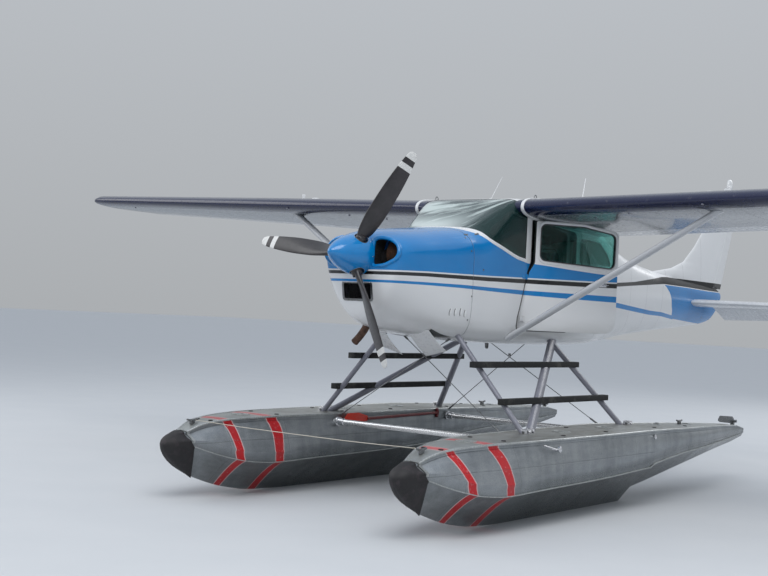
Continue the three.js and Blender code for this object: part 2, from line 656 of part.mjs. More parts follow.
// Step boards along the struts: name, x, z, fore end, aft end
const STEPS = [["upper_step", 662, -880, -190, 1640], ["lower_step", 912, -1180, -110, 1790]];
for (const [name, x, z, y0, y1] of STEPS) {
  const board = box(x - 34, x + 34, y0, y1, z - 28, z + 28).subtract(taken).decompose()
    .sort((a, b) => b.volume() - a.volume())[0];
  place(name + "_port", board, "dark");
  place(name + "_starboard", mirrored(board), "dark");
}

// Spreader bars between the floats, and the crossed brace wires above them
const floatsClear = floatClear.add(mirrored(floatClear));
const middle = (body) => body.decompose().sort((a, b) => b.volume() - a.volume())[0];
for (const [name, y] of [["front_spreader", -100], ["rear_spreader", 1700]]) {
  const bar = cone([-900, y, -1500], [900, y, -1500], 25, 25, 12);
  place(name, middle(bar.subtract(floatsClear)), "bright");
}
for (const [name, y0, y1] of [["front_brace_wires", 60, -40], ["rear_brace_wires", 1400, 1760]]) {
  const wire = cone([300, y0, -610], [-905, y1, -1462], 5, 5, 6);
  const both = wire.add(mirrored(wire)).subtract(SKIN).subtract(floatsClear);
  const mid = [y0 + (y1 - y0) * 0.249, -610 - 852 * 0.249];
  const clamp = box(-12, 12, mid[0] - 8, mid[0] + 8, mid[1] - 12, mid[1] + 12);
  place(name, middle(both.add(clamp)), "grey");
}

// Water rudders, lifted and folded forward over the stern decks
const rudderPlate = prism(rounded([
  [4330, -1500 + GAP, 10], [4360, -1450, 20], [4300, -1420, 20], [3960, -1400, 40],
  [3900, -1450, 30], [3960, -1468, 10],
]), "x", FLOAT_X - 5, FLOAT_X + 5);
const pivot = cone([FLOAT_X - 45, 4320, -1470], [FLOAT_X + 45, 4320, -1470], 16, 16, 12);
const waterRudder = rudderPlate.add(pivot).add(
  box(FLOAT_X - 20, FLOAT_X + 20, 4300, 4340, -1520, -1470)).subtract(floatClear);
place("water_rudder_port", waterRudder, "aluminium");
place("water_rudder_starboard", mirrored(waterRudder), "aluminium");

// Paddle clipped along the inboard side of the starboard float
const paddle = cone([-842, 300, -1482], [-842, 1560, -1482], 15, 15, 10)
  .add(box(-850, -838, 0, 330, -1530, -1425));
place("paddle", middle(paddle.subtract(mirrored(floatClear))), "orange");

// Dome on the tip of the fin
const dome = new THREE.LatheGeometry([
  [0, 0], [62, 0], [60, 70], [44, 108], [20, 124], [0, 126],
].map(([r, h]) => new THREE.Vector2(r, h)), 14);
dome.rotateX(Math.PI / 2);
dome.scale(0.55, 1, 1);
dome.translate(0, 6860, 1400 + GAP);
place("fin_dome", solid(dome), "white");

export default craft;
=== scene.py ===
"""A high-wing single-engine floatplane, parked on its floats with the port door open.

Shapes are given in metres from the firewall on the propeller axis: x to port, y aft, z up.
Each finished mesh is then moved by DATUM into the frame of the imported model.
"""
import json
import logging
import math
from contextlib import contextmanager
from dataclasses import dataclass, field
from enum import Enum
from typing import Any, Callable, Iterator, Optional, Sequence

import bpy
import numpy as np
from mathutils import Matrix, Vector

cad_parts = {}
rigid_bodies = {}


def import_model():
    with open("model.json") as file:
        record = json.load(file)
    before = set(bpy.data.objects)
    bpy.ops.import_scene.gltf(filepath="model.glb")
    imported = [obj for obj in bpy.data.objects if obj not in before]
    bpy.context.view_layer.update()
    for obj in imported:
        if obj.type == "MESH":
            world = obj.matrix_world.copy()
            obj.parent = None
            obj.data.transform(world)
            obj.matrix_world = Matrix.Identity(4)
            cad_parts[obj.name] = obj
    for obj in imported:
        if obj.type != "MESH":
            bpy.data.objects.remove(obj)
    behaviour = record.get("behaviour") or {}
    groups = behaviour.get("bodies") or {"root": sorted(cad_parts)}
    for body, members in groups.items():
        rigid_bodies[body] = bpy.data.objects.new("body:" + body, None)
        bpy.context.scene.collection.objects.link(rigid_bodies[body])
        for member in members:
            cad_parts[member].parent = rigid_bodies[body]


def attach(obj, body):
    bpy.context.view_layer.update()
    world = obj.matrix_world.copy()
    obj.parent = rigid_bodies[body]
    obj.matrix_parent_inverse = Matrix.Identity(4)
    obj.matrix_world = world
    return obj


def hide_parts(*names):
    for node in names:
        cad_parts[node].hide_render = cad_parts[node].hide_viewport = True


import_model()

LOG = logging.getLogger("floatplane")
DATUM = Vector((0.0, -2.63, 2.12))
MERGE = 2e-5            # points closer than this become one
DOOR_HINGE = (.578, .80)    # x and y of the port door's upright hinge line
DOOR_OPEN = 36.0        # degrees that the port door stands open
FLOAT_X = 1.19          # from the aircraft's centre line to a float's
FLOAT_LAP = -1.6265     # height of the lap seam along a float's side
Point = tuple[float, float, float]
Pair = tuple[float, float]
Piece = bpy.types.Object


class Side(Enum):
    """The two sides of the aircraft, as the sign of x."""

    PORT = 1
    STARBOARD = -1

    @property
    def word(self) -> str:
        """The side as it ends a name."""
        return self.name.lower()


class Along(Enum):
    """The axis that an outline is pushed along."""

    X = 0
    Y = 1
    Z = 2


# Curves and outlines

def smooth(table: Sequence[Sequence[float]], at: Any) -> np.ndarray:
    """Smooth curve through the rows of a table without overshoot.

    Args:
        table: rows whose first column grows.
        at: the value or values of the first column to read.

    Returns:
        The other columns, one row for each value.
    """
    rows = np.asarray(table, float)
    x, y = rows[:, 0], rows[:, 1:]
    h = np.diff(x)[:, None]
    d = np.diff(y, axis=0) / h
    m = np.zeros_like(y)
    m[0], m[-1] = d[0], d[-1]
    w1, w2 = 2 * h[1:] + h[:-1], h[1:] + 2 * h[:-1]
    same = d[:-1] * d[1:] > 0
    with np.errstate(divide="ignore", invalid="ignore"):
        mean = (w1 + w2) / (w1 / d[:-1] + w2 / d[1:])
    m[1:-1] = np.where(same, mean, 0.0)
    q = np.clip(np.atleast_1d(np.asarray(at, float)), x[0], x[-1])
    i = np.clip(np.searchsorted(x, q, side="right") - 1, 0, len(x) - 2)
    t = ((q - x[i]) / (x[i + 1] - x[i]))[:, None]
    hh = (x[i + 1] - x[i])[:, None]
    return ((1 + 2 * t) * (1 - t) ** 2 * y[i] + t * (1 - t) ** 2 * hh * m[i]
            + t * t * (3 - 2 * t) * y[i + 1] + t * t * (t - 1) * hh * m[i + 1])


def rounded(corners: Sequence[Sequence[float]], steps: int = 8) -> list[Pair]:
    """Outline with round corners.

    Args:
        corners: rows of two coordinates and a radius.
        steps: pieces of each round corner.

    Returns:
        The points of the outline.
    """
    out: list[Pair] = []
    for i, (a, b, r) in enumerate(corners):
        p = np.array([a, b])
        if not r:
            out.append((a, b))
            continue
        u = np.array(corners[i - 1][:2]) - p
        v = np.array(corners[(i + 1) % len(corners)][:2]) - p
        lu, lv = np.linalg.norm(u), np.linalg.norm(v)
        u, v = u / lu, v / lv
        half = math.acos(float(np.clip(u @ v, -1, 1))) / 2
        reach = min(r / math.tan(half), 0.49 * lu, 0.49 * lv)
        r = reach * math.tan(half)
        hub = p + (u + v) / np.linalg.norm(u + v) * r / math.sin(half)
        first, last = p + u * reach - hub, p + v * reach - hub
        turn = math.acos(float(np.clip(first @ last / r / r, -1, 1)))
        for k in range(steps + 1):
            s = k / steps
            q = (math.sin((1 - s) * turn) * first + math.sin(s * turn) * last) / math.sin(turn)
            out.append(tuple(float(c) for c in hub + q))
    return out


def grown(outline: Sequence[Pair], by: float) -> list[Pair]:
    """Outline moved outwards at every point, or inwards for a negative distance."""
    p = np.asarray(outline, float)
    e = np.roll(p, -1, axis=0) - p
    e /= np.maximum(np.linalg.norm(e, axis=1), 1e-9)[:, None]
    n = np.stack([e[:, 1], -e[:, 0]], axis=1)
    m = n + np.roll(n, 1, axis=0)
    m /= np.maximum((m * m).sum(1), 0.5)[:, None] / 2
    area = float(np.sum(p[:, 0] * np.roll(p[:, 1], -1) - p[:, 1] * np.roll(p[:, 0], -1)))
    return [tuple(float(c) for c in q) for q in p + m * by * (1 if area > 0 else -1)]


def dense(outline: Sequence[Sequence[float]], gap: float, closed: bool = True) -> np.ndarray:
    """Points at even steps along an outline, its corners kept.

    Args:
        outline: points in two or three coordinates.
        gap: the longest step.
        closed: whether the last point joins the first.

    Returns:
        The points in order.
    """
    p = np.asarray(outline, float)
    ends = np.roll(p, -1, axis=0) if closed else p[1:]
    out = []
    for a, b in zip(p, ends):
        n = max(1, int(math.ceil(np.linalg.norm(b - a) / gap)))
        out += [a + (b - a) * k / n for k in range(n)]
    if not closed:
        out.append(p[-1])
    return np.array(out)


def lengths(points: np.ndarray) -> np.ndarray:
    """How far each point lies along the line through all of them."""
    return np.concatenate([[0], np.cumsum(np.linalg.norm(np.diff(points, axis=0), axis=1))])


def even(points: np.ndarray, count: int) -> np.ndarray:
    """A given number of points at even arc length along an open curve."""
    p = np.asarray(points, float)
    s = lengths(p)
    q = np.linspace(0, s[-1], count)
    return np.stack([np.interp(q, s, p[:, k]) for k in range(p.shape[1])], axis=1)


def arc(points: Sequence[Point], count: int) -> np.ndarray:
    """Smooth open curve through a few points, at even arc length."""
    p = np.asarray(points, float)
    s = lengths(p)
    return even(smooth(np.column_stack([s, p]), np.linspace(0, s[-1], count * 4)), count)


def oval(width: float, height: float, count: int) -> list[Pair]:
    """Points of an ellipse of that width and height."""
    return [(math.cos(2 * math.pi * k / count) * width / 2,
             math.sin(2 * math.pi * k / count) * height / 2) for k in range(count)]


def teardrop(chord: float, thick: float, count: int = 24) -> list[Pair]:
    """Streamlined section: round in front at minus x, thin behind.

    Args:
        chord: its length.
        thick: its greatest thickness.
        count: points all round.

    Returns:
        Pairs of (along, across), centred on the chord.
    """
    out = []
    for k in range(count):
        a = 2 * math.pi * k / count
        f = (1 - math.cos(a)) / 2
        bulge = 2.6 * math.sqrt(max(f, 0)) * (1 - f) + 0.16 * math.sqrt(max(f * (1 - f), 0))
        out.append(((f - 0.5) * chord, math.copysign(bulge * thick / 2, math.sin(a))))
    return out


def across(section: Sequence[Pair]) -> list[Pair]:
    """A section with its two coordinates exchanged."""
    return [(v, u) for u, v in section]


def halves(half: list[Point], axis: Along, middle: float = 0.0) -> list[Point]:
    """Half a section and, run backwards, its image across one axis.

    Args:
        half: the points, of which the first lies on the mirror.
        axis: the coordinate that is mirrored.
        middle: where the mirror stands.

    Returns:
        The points all round.
    """
    other = [list(p) for p in half[:0:-1]]
    for p in other:
        p[axis.value] = 2 * middle - p[axis.value]
    return half + [tuple(p) for p in other]


def about(at: Sequence[float], degrees: float, axis: Any) -> Matrix:
    """Turn about an axis through a point."""
    there = Matrix.Translation(at)
    return there @ Matrix.Rotation(math.radians(degrees), 4, axis) @ there.inverted()


# The bench: modelling as by hand

class Bench:
    """Modelling operators, with one piece in hand at a time."""

    @staticmethod
    def hold(piece: Optional[Piece]) -> None:
        """Select one piece alone, or nothing."""
        for other in list(bpy.context.selected_objects):
            other.select_set(False)
        if piece is not None:
            piece.select_set(True)
        bpy.context.view_layer.objects.active = piece

    @staticmethod
    def named(name: str) -> Piece:
        """The piece in hand, given its name."""
        piece = bpy.context.object
        piece.name = piece.data.name = name
        return piece

    @staticmethod
    def points(piece: Piece) -> np.ndarray:
        """The places of a piece's points, one row for each."""
        flat = np.empty(len(piece.data.vertices) * 3)
        piece.data.vertices.foreach_get("co", flat)
        return flat.reshape(-1, 3)

    @staticmethod
    def put(piece: Piece, points: np.ndarray) -> None:
        """Set a piece's points to new places."""
        piece.data.vertices.foreach_set("co", points.reshape(-1))
        piece.data.update()

    @classmethod
    @contextmanager
    def editing(cls, piece: Piece) -> Iterator[None]:
        """Edit mode on one piece, with all of it selected."""
        cls.hold(piece)
        bpy.ops.object.mode_set(mode="EDIT")
        bpy.ops.mesh.select_mode(type="VERT")
        bpy.ops.mesh.select_all(action="SELECT")
        yield
        bpy.ops.object.mode_set(mode="OBJECT")

    @classmethod
    def skin(cls, name: str, rows: Any, closed: bool = True, ends: bool = True) -> Piece:
        """Lay a grid over rows of points and close it.

        Args:
            name: name of the piece.
            rows: rows of equally many points.
            closed: whether each row runs back to its first point.
            ends: whether the first and last rows are filled.

        Returns:
            The piece.
        """
        rows = np.asarray(rows, float)
        if closed:
            rows = np.concatenate([rows, rows[:, :1]], axis=1)
        cls.hold(None)
        bpy.ops.mesh.primitive_grid_add(
            x_subdivisions=rows.shape[1] - 1, y_subdivisions=rows.shape[0] - 1, size=1)
        piece = cls.named(name)
        cls.put(piece, rows)
        with cls.editing(piece):
            bpy.ops.mesh.remove_doubles(threshold=MERGE)
            if ends:
                bpy.ops.mesh.select_mode(type="EDGE")
                bpy.ops.mesh.select_all(action="DESELECT")
                bpy.ops.mesh.select_non_manifold()
                bpy.ops.mesh.fill_holes(sides=0)
            bpy.ops.mesh.select_all(action="SELECT")
            if ends or closed:
                bpy.ops.mesh.normals_make_consistent(inside=False)
        return piece

    @classmethod
    def prism(cls, name: str, outline: Sequence[Pair], along: Along, low: float,
              high: float) -> Piece:
        """Outline across one axis, extruded along it.

        Args:
            name: name of the piece.
            outline: pairs of the other two coordinates, in the order x, y, z.
            along: the axis.
            low: where it starts.
            high: where it ends.

        Returns:
            The piece.
        """
        cls.hold(None)
        bpy.ops.mesh.primitive_circle_add(vertices=len(outline), radius=1, fill_type="NGON")
        piece = cls.named(name)
        cls.put(piece, np.insert(np.asarray(outline, float), along.value, low, axis=1))
        push = [0.0, 0.0, 0.0]
        push[along.value] = high - low
        with cls.editing(piece):
            bpy.ops.mesh.extrude_region_move(TRANSFORM_OT_translate={"value": push})
            bpy.ops.mesh.select_all(action="SELECT")
            bpy.ops.mesh.normals_make_consistent(inside=False)
        return piece

    @classmethod
    def block(cls, name: str, low: Point, high: Point, bevel: float = 0.0,
              segments: int = 2) -> Piece:
        """Box between two corners with its edges bevelled."""
        cls.hold(None)
        bpy.ops.mesh.primitive_cube_add(size=1)
        piece = cls.named(name)
        a, b = Vector(low), Vector(high)
        piece.data.transform(Matrix.Translation((a + b) / 2)
                             @ Matrix.Diagonal((*(b - a), 1)))
        if bevel:
            with cls.editing(piece):
                bpy.ops.mesh.bevel(offset=bevel, segments=segments, affect="EDGES")
        return piece

    @classmethod
    def sweep(cls, name: str, path: Any, section: Sequence[Pair], closed: bool = False,
              up: Any = None, scale: Optional[Sequence[float]] = None) -> Piece:
        """Push a section along a path.

        Args:
            name: name of the piece.
            path: the points of the path.
            section: pairs of (across, up) round the path.
            closed: whether the path runs back to its start.
            up: one up direction or one for each point; else it is carried along.
            scale: size of the section at each point.

        Returns:
            The piece.
        """
        p = np.asarray(path, float)
        n = len(p)
        if closed:
            t = np.roll(p, -1, axis=0) - np.roll(p, 1, axis=0)
        else:
            t = np.gradient(p, axis=0)
        t /= np.linalg.norm(t, axis=1)[:, None]
        if up is None:
            first = np.eye(3)[int(np.argmin(np.abs(t[0])))]
            ups = np.zeros_like(p)
            ups[0] = first
            for i in range(n):
                base = ups[i - 1] if i else first
                v = base - t[i] * (base @ t[i])
                ups[i] = v / np.linalg.norm(v)
        else:
            ups = np.broadcast_to(np.asarray(up, float), p.shape).copy()
            ups -= t * (ups * t).sum(1)[:, None]
            ups /= np.linalg.norm(ups, axis=1)[:, None]
        aside = np.cross(t, ups)
        size = np.ones(n) if scale is None else np.asarray(scale, float)
        s = np.asarray(section, float)
        rows = (p[:, None] + aside[:, None] * s[None, :, :1] * size[:, None, None]
                + ups[:, None] * s[None, :, 1:] * size[:, None, None])
        if closed:
            rows = np.concatenate([rows, rows[:1]])
        return cls.skin(name, rows, closed=True, ends=not closed)

    @classmethod
    def rod(cls, name: str, path: Any, radius: float, sides: int = 12,
            closed: bool = False, bend: int = 0) -> Piece:
        """Round rod through points, curved smoothly if bend gives a point count."""
        pts = arc(path, bend) if bend else np.asarray(path, float)
        return cls.sweep(name, pts, oval(2 * radius, 2 * radius, sides), closed)

    @classmethod
    def lathe(cls, name: str, profile: Sequence[Pair], centre: Point, axis: Point,
              sides: int = 48) -> Piece:
        """Turn a profile of (along, radius) about an axis.

        Args:
            name: name of the piece.
            profile: pairs from one end to the other.
            centre: the point where along is zero.
            axis: direction of the axis.
            sides: points round it.

        Returns:
            The piece.
        """
        turn = Vector((0, 0, 1)).rotation_difference(Vector(axis)).to_matrix()
        rows = []
        for along, radius in profile:
            ring = [Vector(centre) + turn @ Vector((
                radius * math.cos(2 * math.pi * k / sides),
                radius * math.sin(2 * math.pi * k / sides), along)) for k in range(sides)]
            rows.append([tuple(v) for v in ring])
        return cls.skin(name, rows)

    @classmethod
    def shape(cls, piece: Piece, tool: Piece, kind: str = "DIFFERENCE",
              keep: bool = False) -> Piece:
        """Cut, join or trim one piece by another, which is then thrown away."""
        before = len(piece.data.vertices)
        for solver in ("MANIFOLD", "EXACT"):
            cls.hold(piece)
            step = piece.modifiers.new("shape", "BOOLEAN")
            step.operation, step.solver, step.object = kind, solver, tool
            bpy.ops.object.modifier_apply(modifier=step.name)
            if len(piece.data.vertices) != before:
                break
        if not keep:
            bpy.data.objects.remove(tool)
        return piece

    @classmethod
    def refine(cls, piece: Piece, kind: str, **settings: Any) -> Piece:
        """Put a modifier on a piece and apply it."""
        cls.hold(piece)
        step = piece.modifiers.new(kind.lower(), kind)
        for key, value in settings.items():
            setattr(step, key, value)
        bpy.ops.object.modifier_apply(modifier=step.name)
        return piece

    @classmethod
    def copy(cls, piece: Piece, name: str) -> Piece:
        """A copy with its own mesh."""
        cls.hold(piece)
        bpy.ops.object.duplicate(linked=False)
        return cls.named(name)

    @classmethod
    def mirror(cls, piece: Piece, name: str) -> Piece:
        """A copy on the other side of the centre line, its faces still outwards."""
        made = cls.copy(piece, name)
        made.data.transform(Matrix.Diagonal((-1, 1, 1, 1)))
        made.data.flip_normals()
        return made

    @classmethod
    def join(cls, name: str, pieces: Sequence[Piece]) -> Piece:
        """Several pieces as one."""
        cls.hold(pieces[0])
        for other in pieces[1:]:
            other.select_set(True)
        if len(pieces) > 1:
            bpy.ops.object.join()
        return cls.named(name)

    @classmethod
    def move(cls, piece: Piece, matrix: Optional[Matrix]) -> Piece:
        """Move a piece's mesh, where there is a move."""
        if matrix is not None:
            piece.data.transform(matrix)
        return piece

    @classmethod
    def shift(cls, piece: Piece, *by: float) -> Piece:
        """Move a piece's mesh along the axes."""
        return cls.move(piece, Matrix.Translation(by))

    @classmethod
    def lay(cls, piece: Piece, at: Sequence[float], normal: Sequence[float],
            along: Sequence[float] = (0, 1, 0)) -> Piece:
        """Set a piece made at the origin in its place.

        Args:
            piece: the piece.
            at: where its origin goes.
            normal: where its z points.
            along: roughly where its x points.

        Returns:
            The piece.
        """
        n, a = Vector(normal).normalized(), Vector(along)
        a = (a - n * a.dot(n)).normalized()
        turn = Matrix((a, n.cross(a), n)).transposed().to_4x4()
        return cls.move(piece, Matrix.Translation(Vector(at)) @ turn)

    @classmethod
    def drop(cls, piece: Piece) -> None:
        """Throw a piece away."""
        bpy.data.objects.remove(piece)


# Shader trees

class Wire:
    """A shader socket on which sums are written as Python expressions."""

    def __init__(self, tree: "Tree", socket: Any) -> None:
        """Keep the socket and the tree that it belongs to."""
        self.tree, self.socket = tree, socket

    def __add__(self, other: Any) -> "Wire":
        """Sum."""
        return self.tree.math("ADD", self, other)

    def __sub__(self, other: Any) -> "Wire":
        """Difference."""
        return self.tree.math("SUBTRACT", self, other)

    def __rsub__(self, other: Any) -> "Wire":
        """Difference from a number."""
        return self.tree.math("SUBTRACT", other, self)

    def __mul__(self, other: Any) -> "Wire":
        """Product."""
        return self.tree.math("MULTIPLY", self, other)

    def __neg__(self) -> "Wire":
        """Opposite."""
        return self.tree.math("MULTIPLY", self, -1.0)

    def __abs__(self) -> "Wire":
        """Size without sign."""
        return self.tree.math("ABSOLUTE", self)

    __radd__ = __add__
    __rmul__ = __mul__


class Tree:
    """The node tree of one material."""

    def __init__(self, name: str) -> None:
        """Start an empty material."""
        self.material = bpy.data.materials.new(name)
        self.material.use_nodes = True
        self.nodes = self.material.node_tree.nodes
        self.nodes.clear()
        self.links = self.material.node_tree.links
        self.spot: Optional[Wire] = None
        self._place: Optional[tuple[Wire, Wire, Wire]] = None

    def node(self, kind: str, settings: Optional[dict] = None,
             inputs: Optional[dict] = None, out: Any = 0) -> Wire:
        """Add a node.

        Args:
            kind: its type.
            settings: its properties, or the stops of its ramp.
            inputs: values and links of its sockets.
            out: the output that is wanted.

        Returns:
            The output.
        """
        made = self.nodes.new(kind)
        for key, value in (settings or {}).items():
            if key == "stops":
                band = made.color_ramp.elements
                while len(band) > 1:
                    band.remove(band[-1])
                for k, (at, colour) in enumerate(value):
                    stop = band[0] if k == 0 else band.new(at)
                    stop.position = at
                    stop.color = (*colour, 1) if isinstance(colour, tuple) else (colour,) * 3 + (1,)
            else:
                setattr(made, key, value)
        for key, value in (inputs or {}).items():
            if isinstance(value, Wire):
                self.links.new(value.socket, made.inputs[key])
            elif isinstance(value, tuple) and len(value) == 3 and made.inputs[key].type == "RGBA":
                made.inputs[key].default_value = (*value, 1)
            else:
                made.inputs[key].default_value = value
        return Wire(self, made.outputs[out])

    def math(self, operation: str, *values: Any) -> Wire:
        """Math node on values and links."""
        return self.node("ShaderNodeMath", {"operation": operation}, dict(enumerate(values)))

    def total(self, a: Any, b: Any) -> Wire:
        """Sum held between 0 and 1."""
        return self.node("ShaderNodeMath", {"operation": "ADD", "use_clamp": True}, {0: a, 1: b})

    def most(self, *masks: Wire) -> Wire:
        """The largest of several masks."""
        out = masks[0]
        for mask in masks[1:]:
            out = self.math("MAXIMUM", out, mask)
        return out

    def step(self, distance: Wire, soft: float = 0.0012) -> Wire:
        """One where a distance is positive, with an edge that wide."""
        return self.total(distance * (1 / soft), 0.5)

    def dots(self, along: Wire, off: Wire, half: float, radius: float) -> Wire:
        """Row of round dots, such as rivet heads.

        Args:
            along: the coordinate that the row runs along.
            off: distance from the row.
            half: a quarter of the way from one dot to the next but one.
            radius: radius of a dot.

        Returns:
            The mask of the dots.
        """
        cell = self.math("PINGPONG", along, half * 2) - half
        return self.step(radius - self.math("SQRT", cell * cell + off * off), 0.002)

    def start(self) -> Wire:
        """The point in the frame of the firewall."""
        spot = self.node("ShaderNodeTexCoord", out="Object")
        return self.node("ShaderNodeMapping", {}, {"Vector": spot, "Location": tuple(-DATUM)})

    def read(self, spot: Wire) -> None:
        """Keep a point and its coordinates for the patterns that follow."""
        node = self.node("ShaderNodeSeparateXYZ", {}, {0: spot}).socket.node
        self.spot = spot
        self._place = tuple(Wire(self, node.outputs[k]) for k in range(3))

    def place(self) -> tuple[Wire, Wire, Wire]:
        """The point's x, y and z from the firewall on the propeller axis."""
        if self._place is None:
            self.read(self.start())
        return self._place

    def swung(self, at: Pair, degrees: float) -> None:
        """Read the pattern of a piece that stands open as if it were shut."""
        self.read(self.node("ShaderNodeVectorRotate", {"rotation_type": "Z_AXIS"},
                            {"Vector": self.start(), "Center": (*at, 0.0),
                             "Angle": math.radians(degrees)}))

    def line(self, at: Wire, table: Sequence[Pair]) -> Wire:
        """Height of a painted line along the part.

        Args:
            at: the coordinate that it runs along.
            table: rows of that coordinate and the height.

        Returns:
            The height there.
        """
        xs, zs = [r[0] for r in table], [r[1] for r in table]
        lo, hi = min(zs), max(zs)
        span = max(hi - lo, 1e-6)
        part = self.node("ShaderNodeMapRange", {"clamp": True},
                         {"Value": at, "From Min": xs[0], "From Max": xs[-1]})
        stops = [((x - xs[0]) / (xs[-1] - xs[0]), (z - lo) / span) for x, z in table]
        return self.node("ShaderNodeValToRGB", {"stops": stops}, {0: part}) * span + lo

    def noise(self, scale: float, detail: float = 2.0, stretch: Point = (1, 1, 1),
              rough: float = 0.5) -> Wire:
        """Noise in the part's own space, from 0 to 1.

        Args:
            scale: waves in a metre.
            detail: how many finer layers.
            stretch: factors on the three axes.
            rough: weight of the finer layers.

        Returns:
            The value.
        """
        self.place()
        spot = self.node("ShaderNodeMapping", {}, {"Vector": self.spot, "Scale": stretch})
        return self.node("ShaderNodeTexNoise", {}, {"Vector": spot, "Scale": scale,
                                                   "Detail": detail, "Roughness": rough})

    def spread(self, value: Wire, low: float, high: float, start: float = 0.0,
               end: float = 1.0) -> Wire:
        """Map a range of a value to another, clamped."""
        return self.node("ShaderNodeMapRange", {"clamp": True},
                         {"Value": value, "From Min": start, "From Max": end,
                          "To Min": low, "To Max": high})

    def mix(self, factor: Any, a: Any, b: Any) -> Wire:
        """Colour a where the factor is 0 and b where it is 1."""
        made = self.nodes.new("ShaderNodeMix")
        made.data_type = "RGBA"
        for key, value in ((0, factor), (6, a), (7, b)):
            if isinstance(value, Wire):
                self.links.new(value.socket, made.inputs[key])
            else:
                made.inputs[key].default_value = (*value, 1) if isinstance(value, tuple) else value
        return Wire(self, made.outputs[2])

    def bump(self, height: Wire, depth: float, strength: float = 1.0,
             under: Optional[Wire] = None) -> Wire:
        """Normal raised by a height, on another bump if one is given."""
        inputs: dict = {"Height": height, "Distance": depth, "Strength": strength}
        if under is not None:
            inputs["Normal"] = under
        return self.node("ShaderNodeBump", {}, inputs)

    def finish(self, **sockets: Any) -> bpy.types.Material:
        """Close the tree with a surface shader.

        Args:
            sockets: values and links, with _ for a space in a socket's name.

        Returns:
            The material.
        """
        inputs = {k.replace("_", " "): v for k, v in sockets.items()}
        shader = self.node("ShaderNodeBsdfPrincipled", {}, inputs)
        out = self.nodes.new("ShaderNodeOutputMaterial")
        self.links.new(shader.socket, out.inputs["Surface"])
        return self.material


# Colours as they are seen, not as numbers in a file

def tone(red: int, green: int, blue: int) -> Point:
    """Linear colour from the usual numbers up to 255."""
    def linear(c: int) -> float:
        """One channel."""
        v = c / 255
        return v / 12.92 if v <= 0.04045 else ((v + 0.055) / 1.055) ** 2.4
    return linear(red), linear(green), linear(blue)


WHITE = tone(222, 223, 224)
BLUE = tone(0, 124, 192)
NAVY = tone(16, 24, 58)
BLACK = tone(14, 15, 18)


@dataclass(frozen=True)
class Finish:
    """A finish: its name in the scene, made once."""

    name: str

    def material(self) -> bpy.types.Material:
        """The material, made the first time it is asked for."""
        found = bpy.data.materials.get(self.name)
        return found if found is not None else self.build(Tree(self.name))

    def build(self, tree: Tree) -> bpy.types.Material:
        """Fill the tree."""
        raise NotImplementedError


@dataclass(frozen=True)
class Enamel(Finish):
    """Plain paint with a soft gloss, faint grime and orange peel."""

    colour: Point = WHITE
    rough: float = 0.28
    grime: float = 0.12
    coat: float = 0.25

    def build(self, tree: Tree) -> bpy.types.Material:
        """Colour varied by broad and fine noise."""
        broad = tree.noise(2.3, 4, rough=0.6)
        fine = tree.noise(38, 3)
        dark = tuple(c * 0.62 for c in self.colour)
        shade = tree.spread(broad * 0.7 + fine * 0.3, 0, self.grime, 0.42, 0.68)
        return tree.finish(
            Base_Color=tree.mix(shade, self.colour, dark),
            Roughness=tree.spread(fine, self.rough - 0.05, self.rough + 0.09, 0.3, 0.7),
            Coat_Weight=self.coat, Coat_Roughness=0.08,
            Normal=tree.bump(tree.noise(260, 1), 0.0006, 0.12))


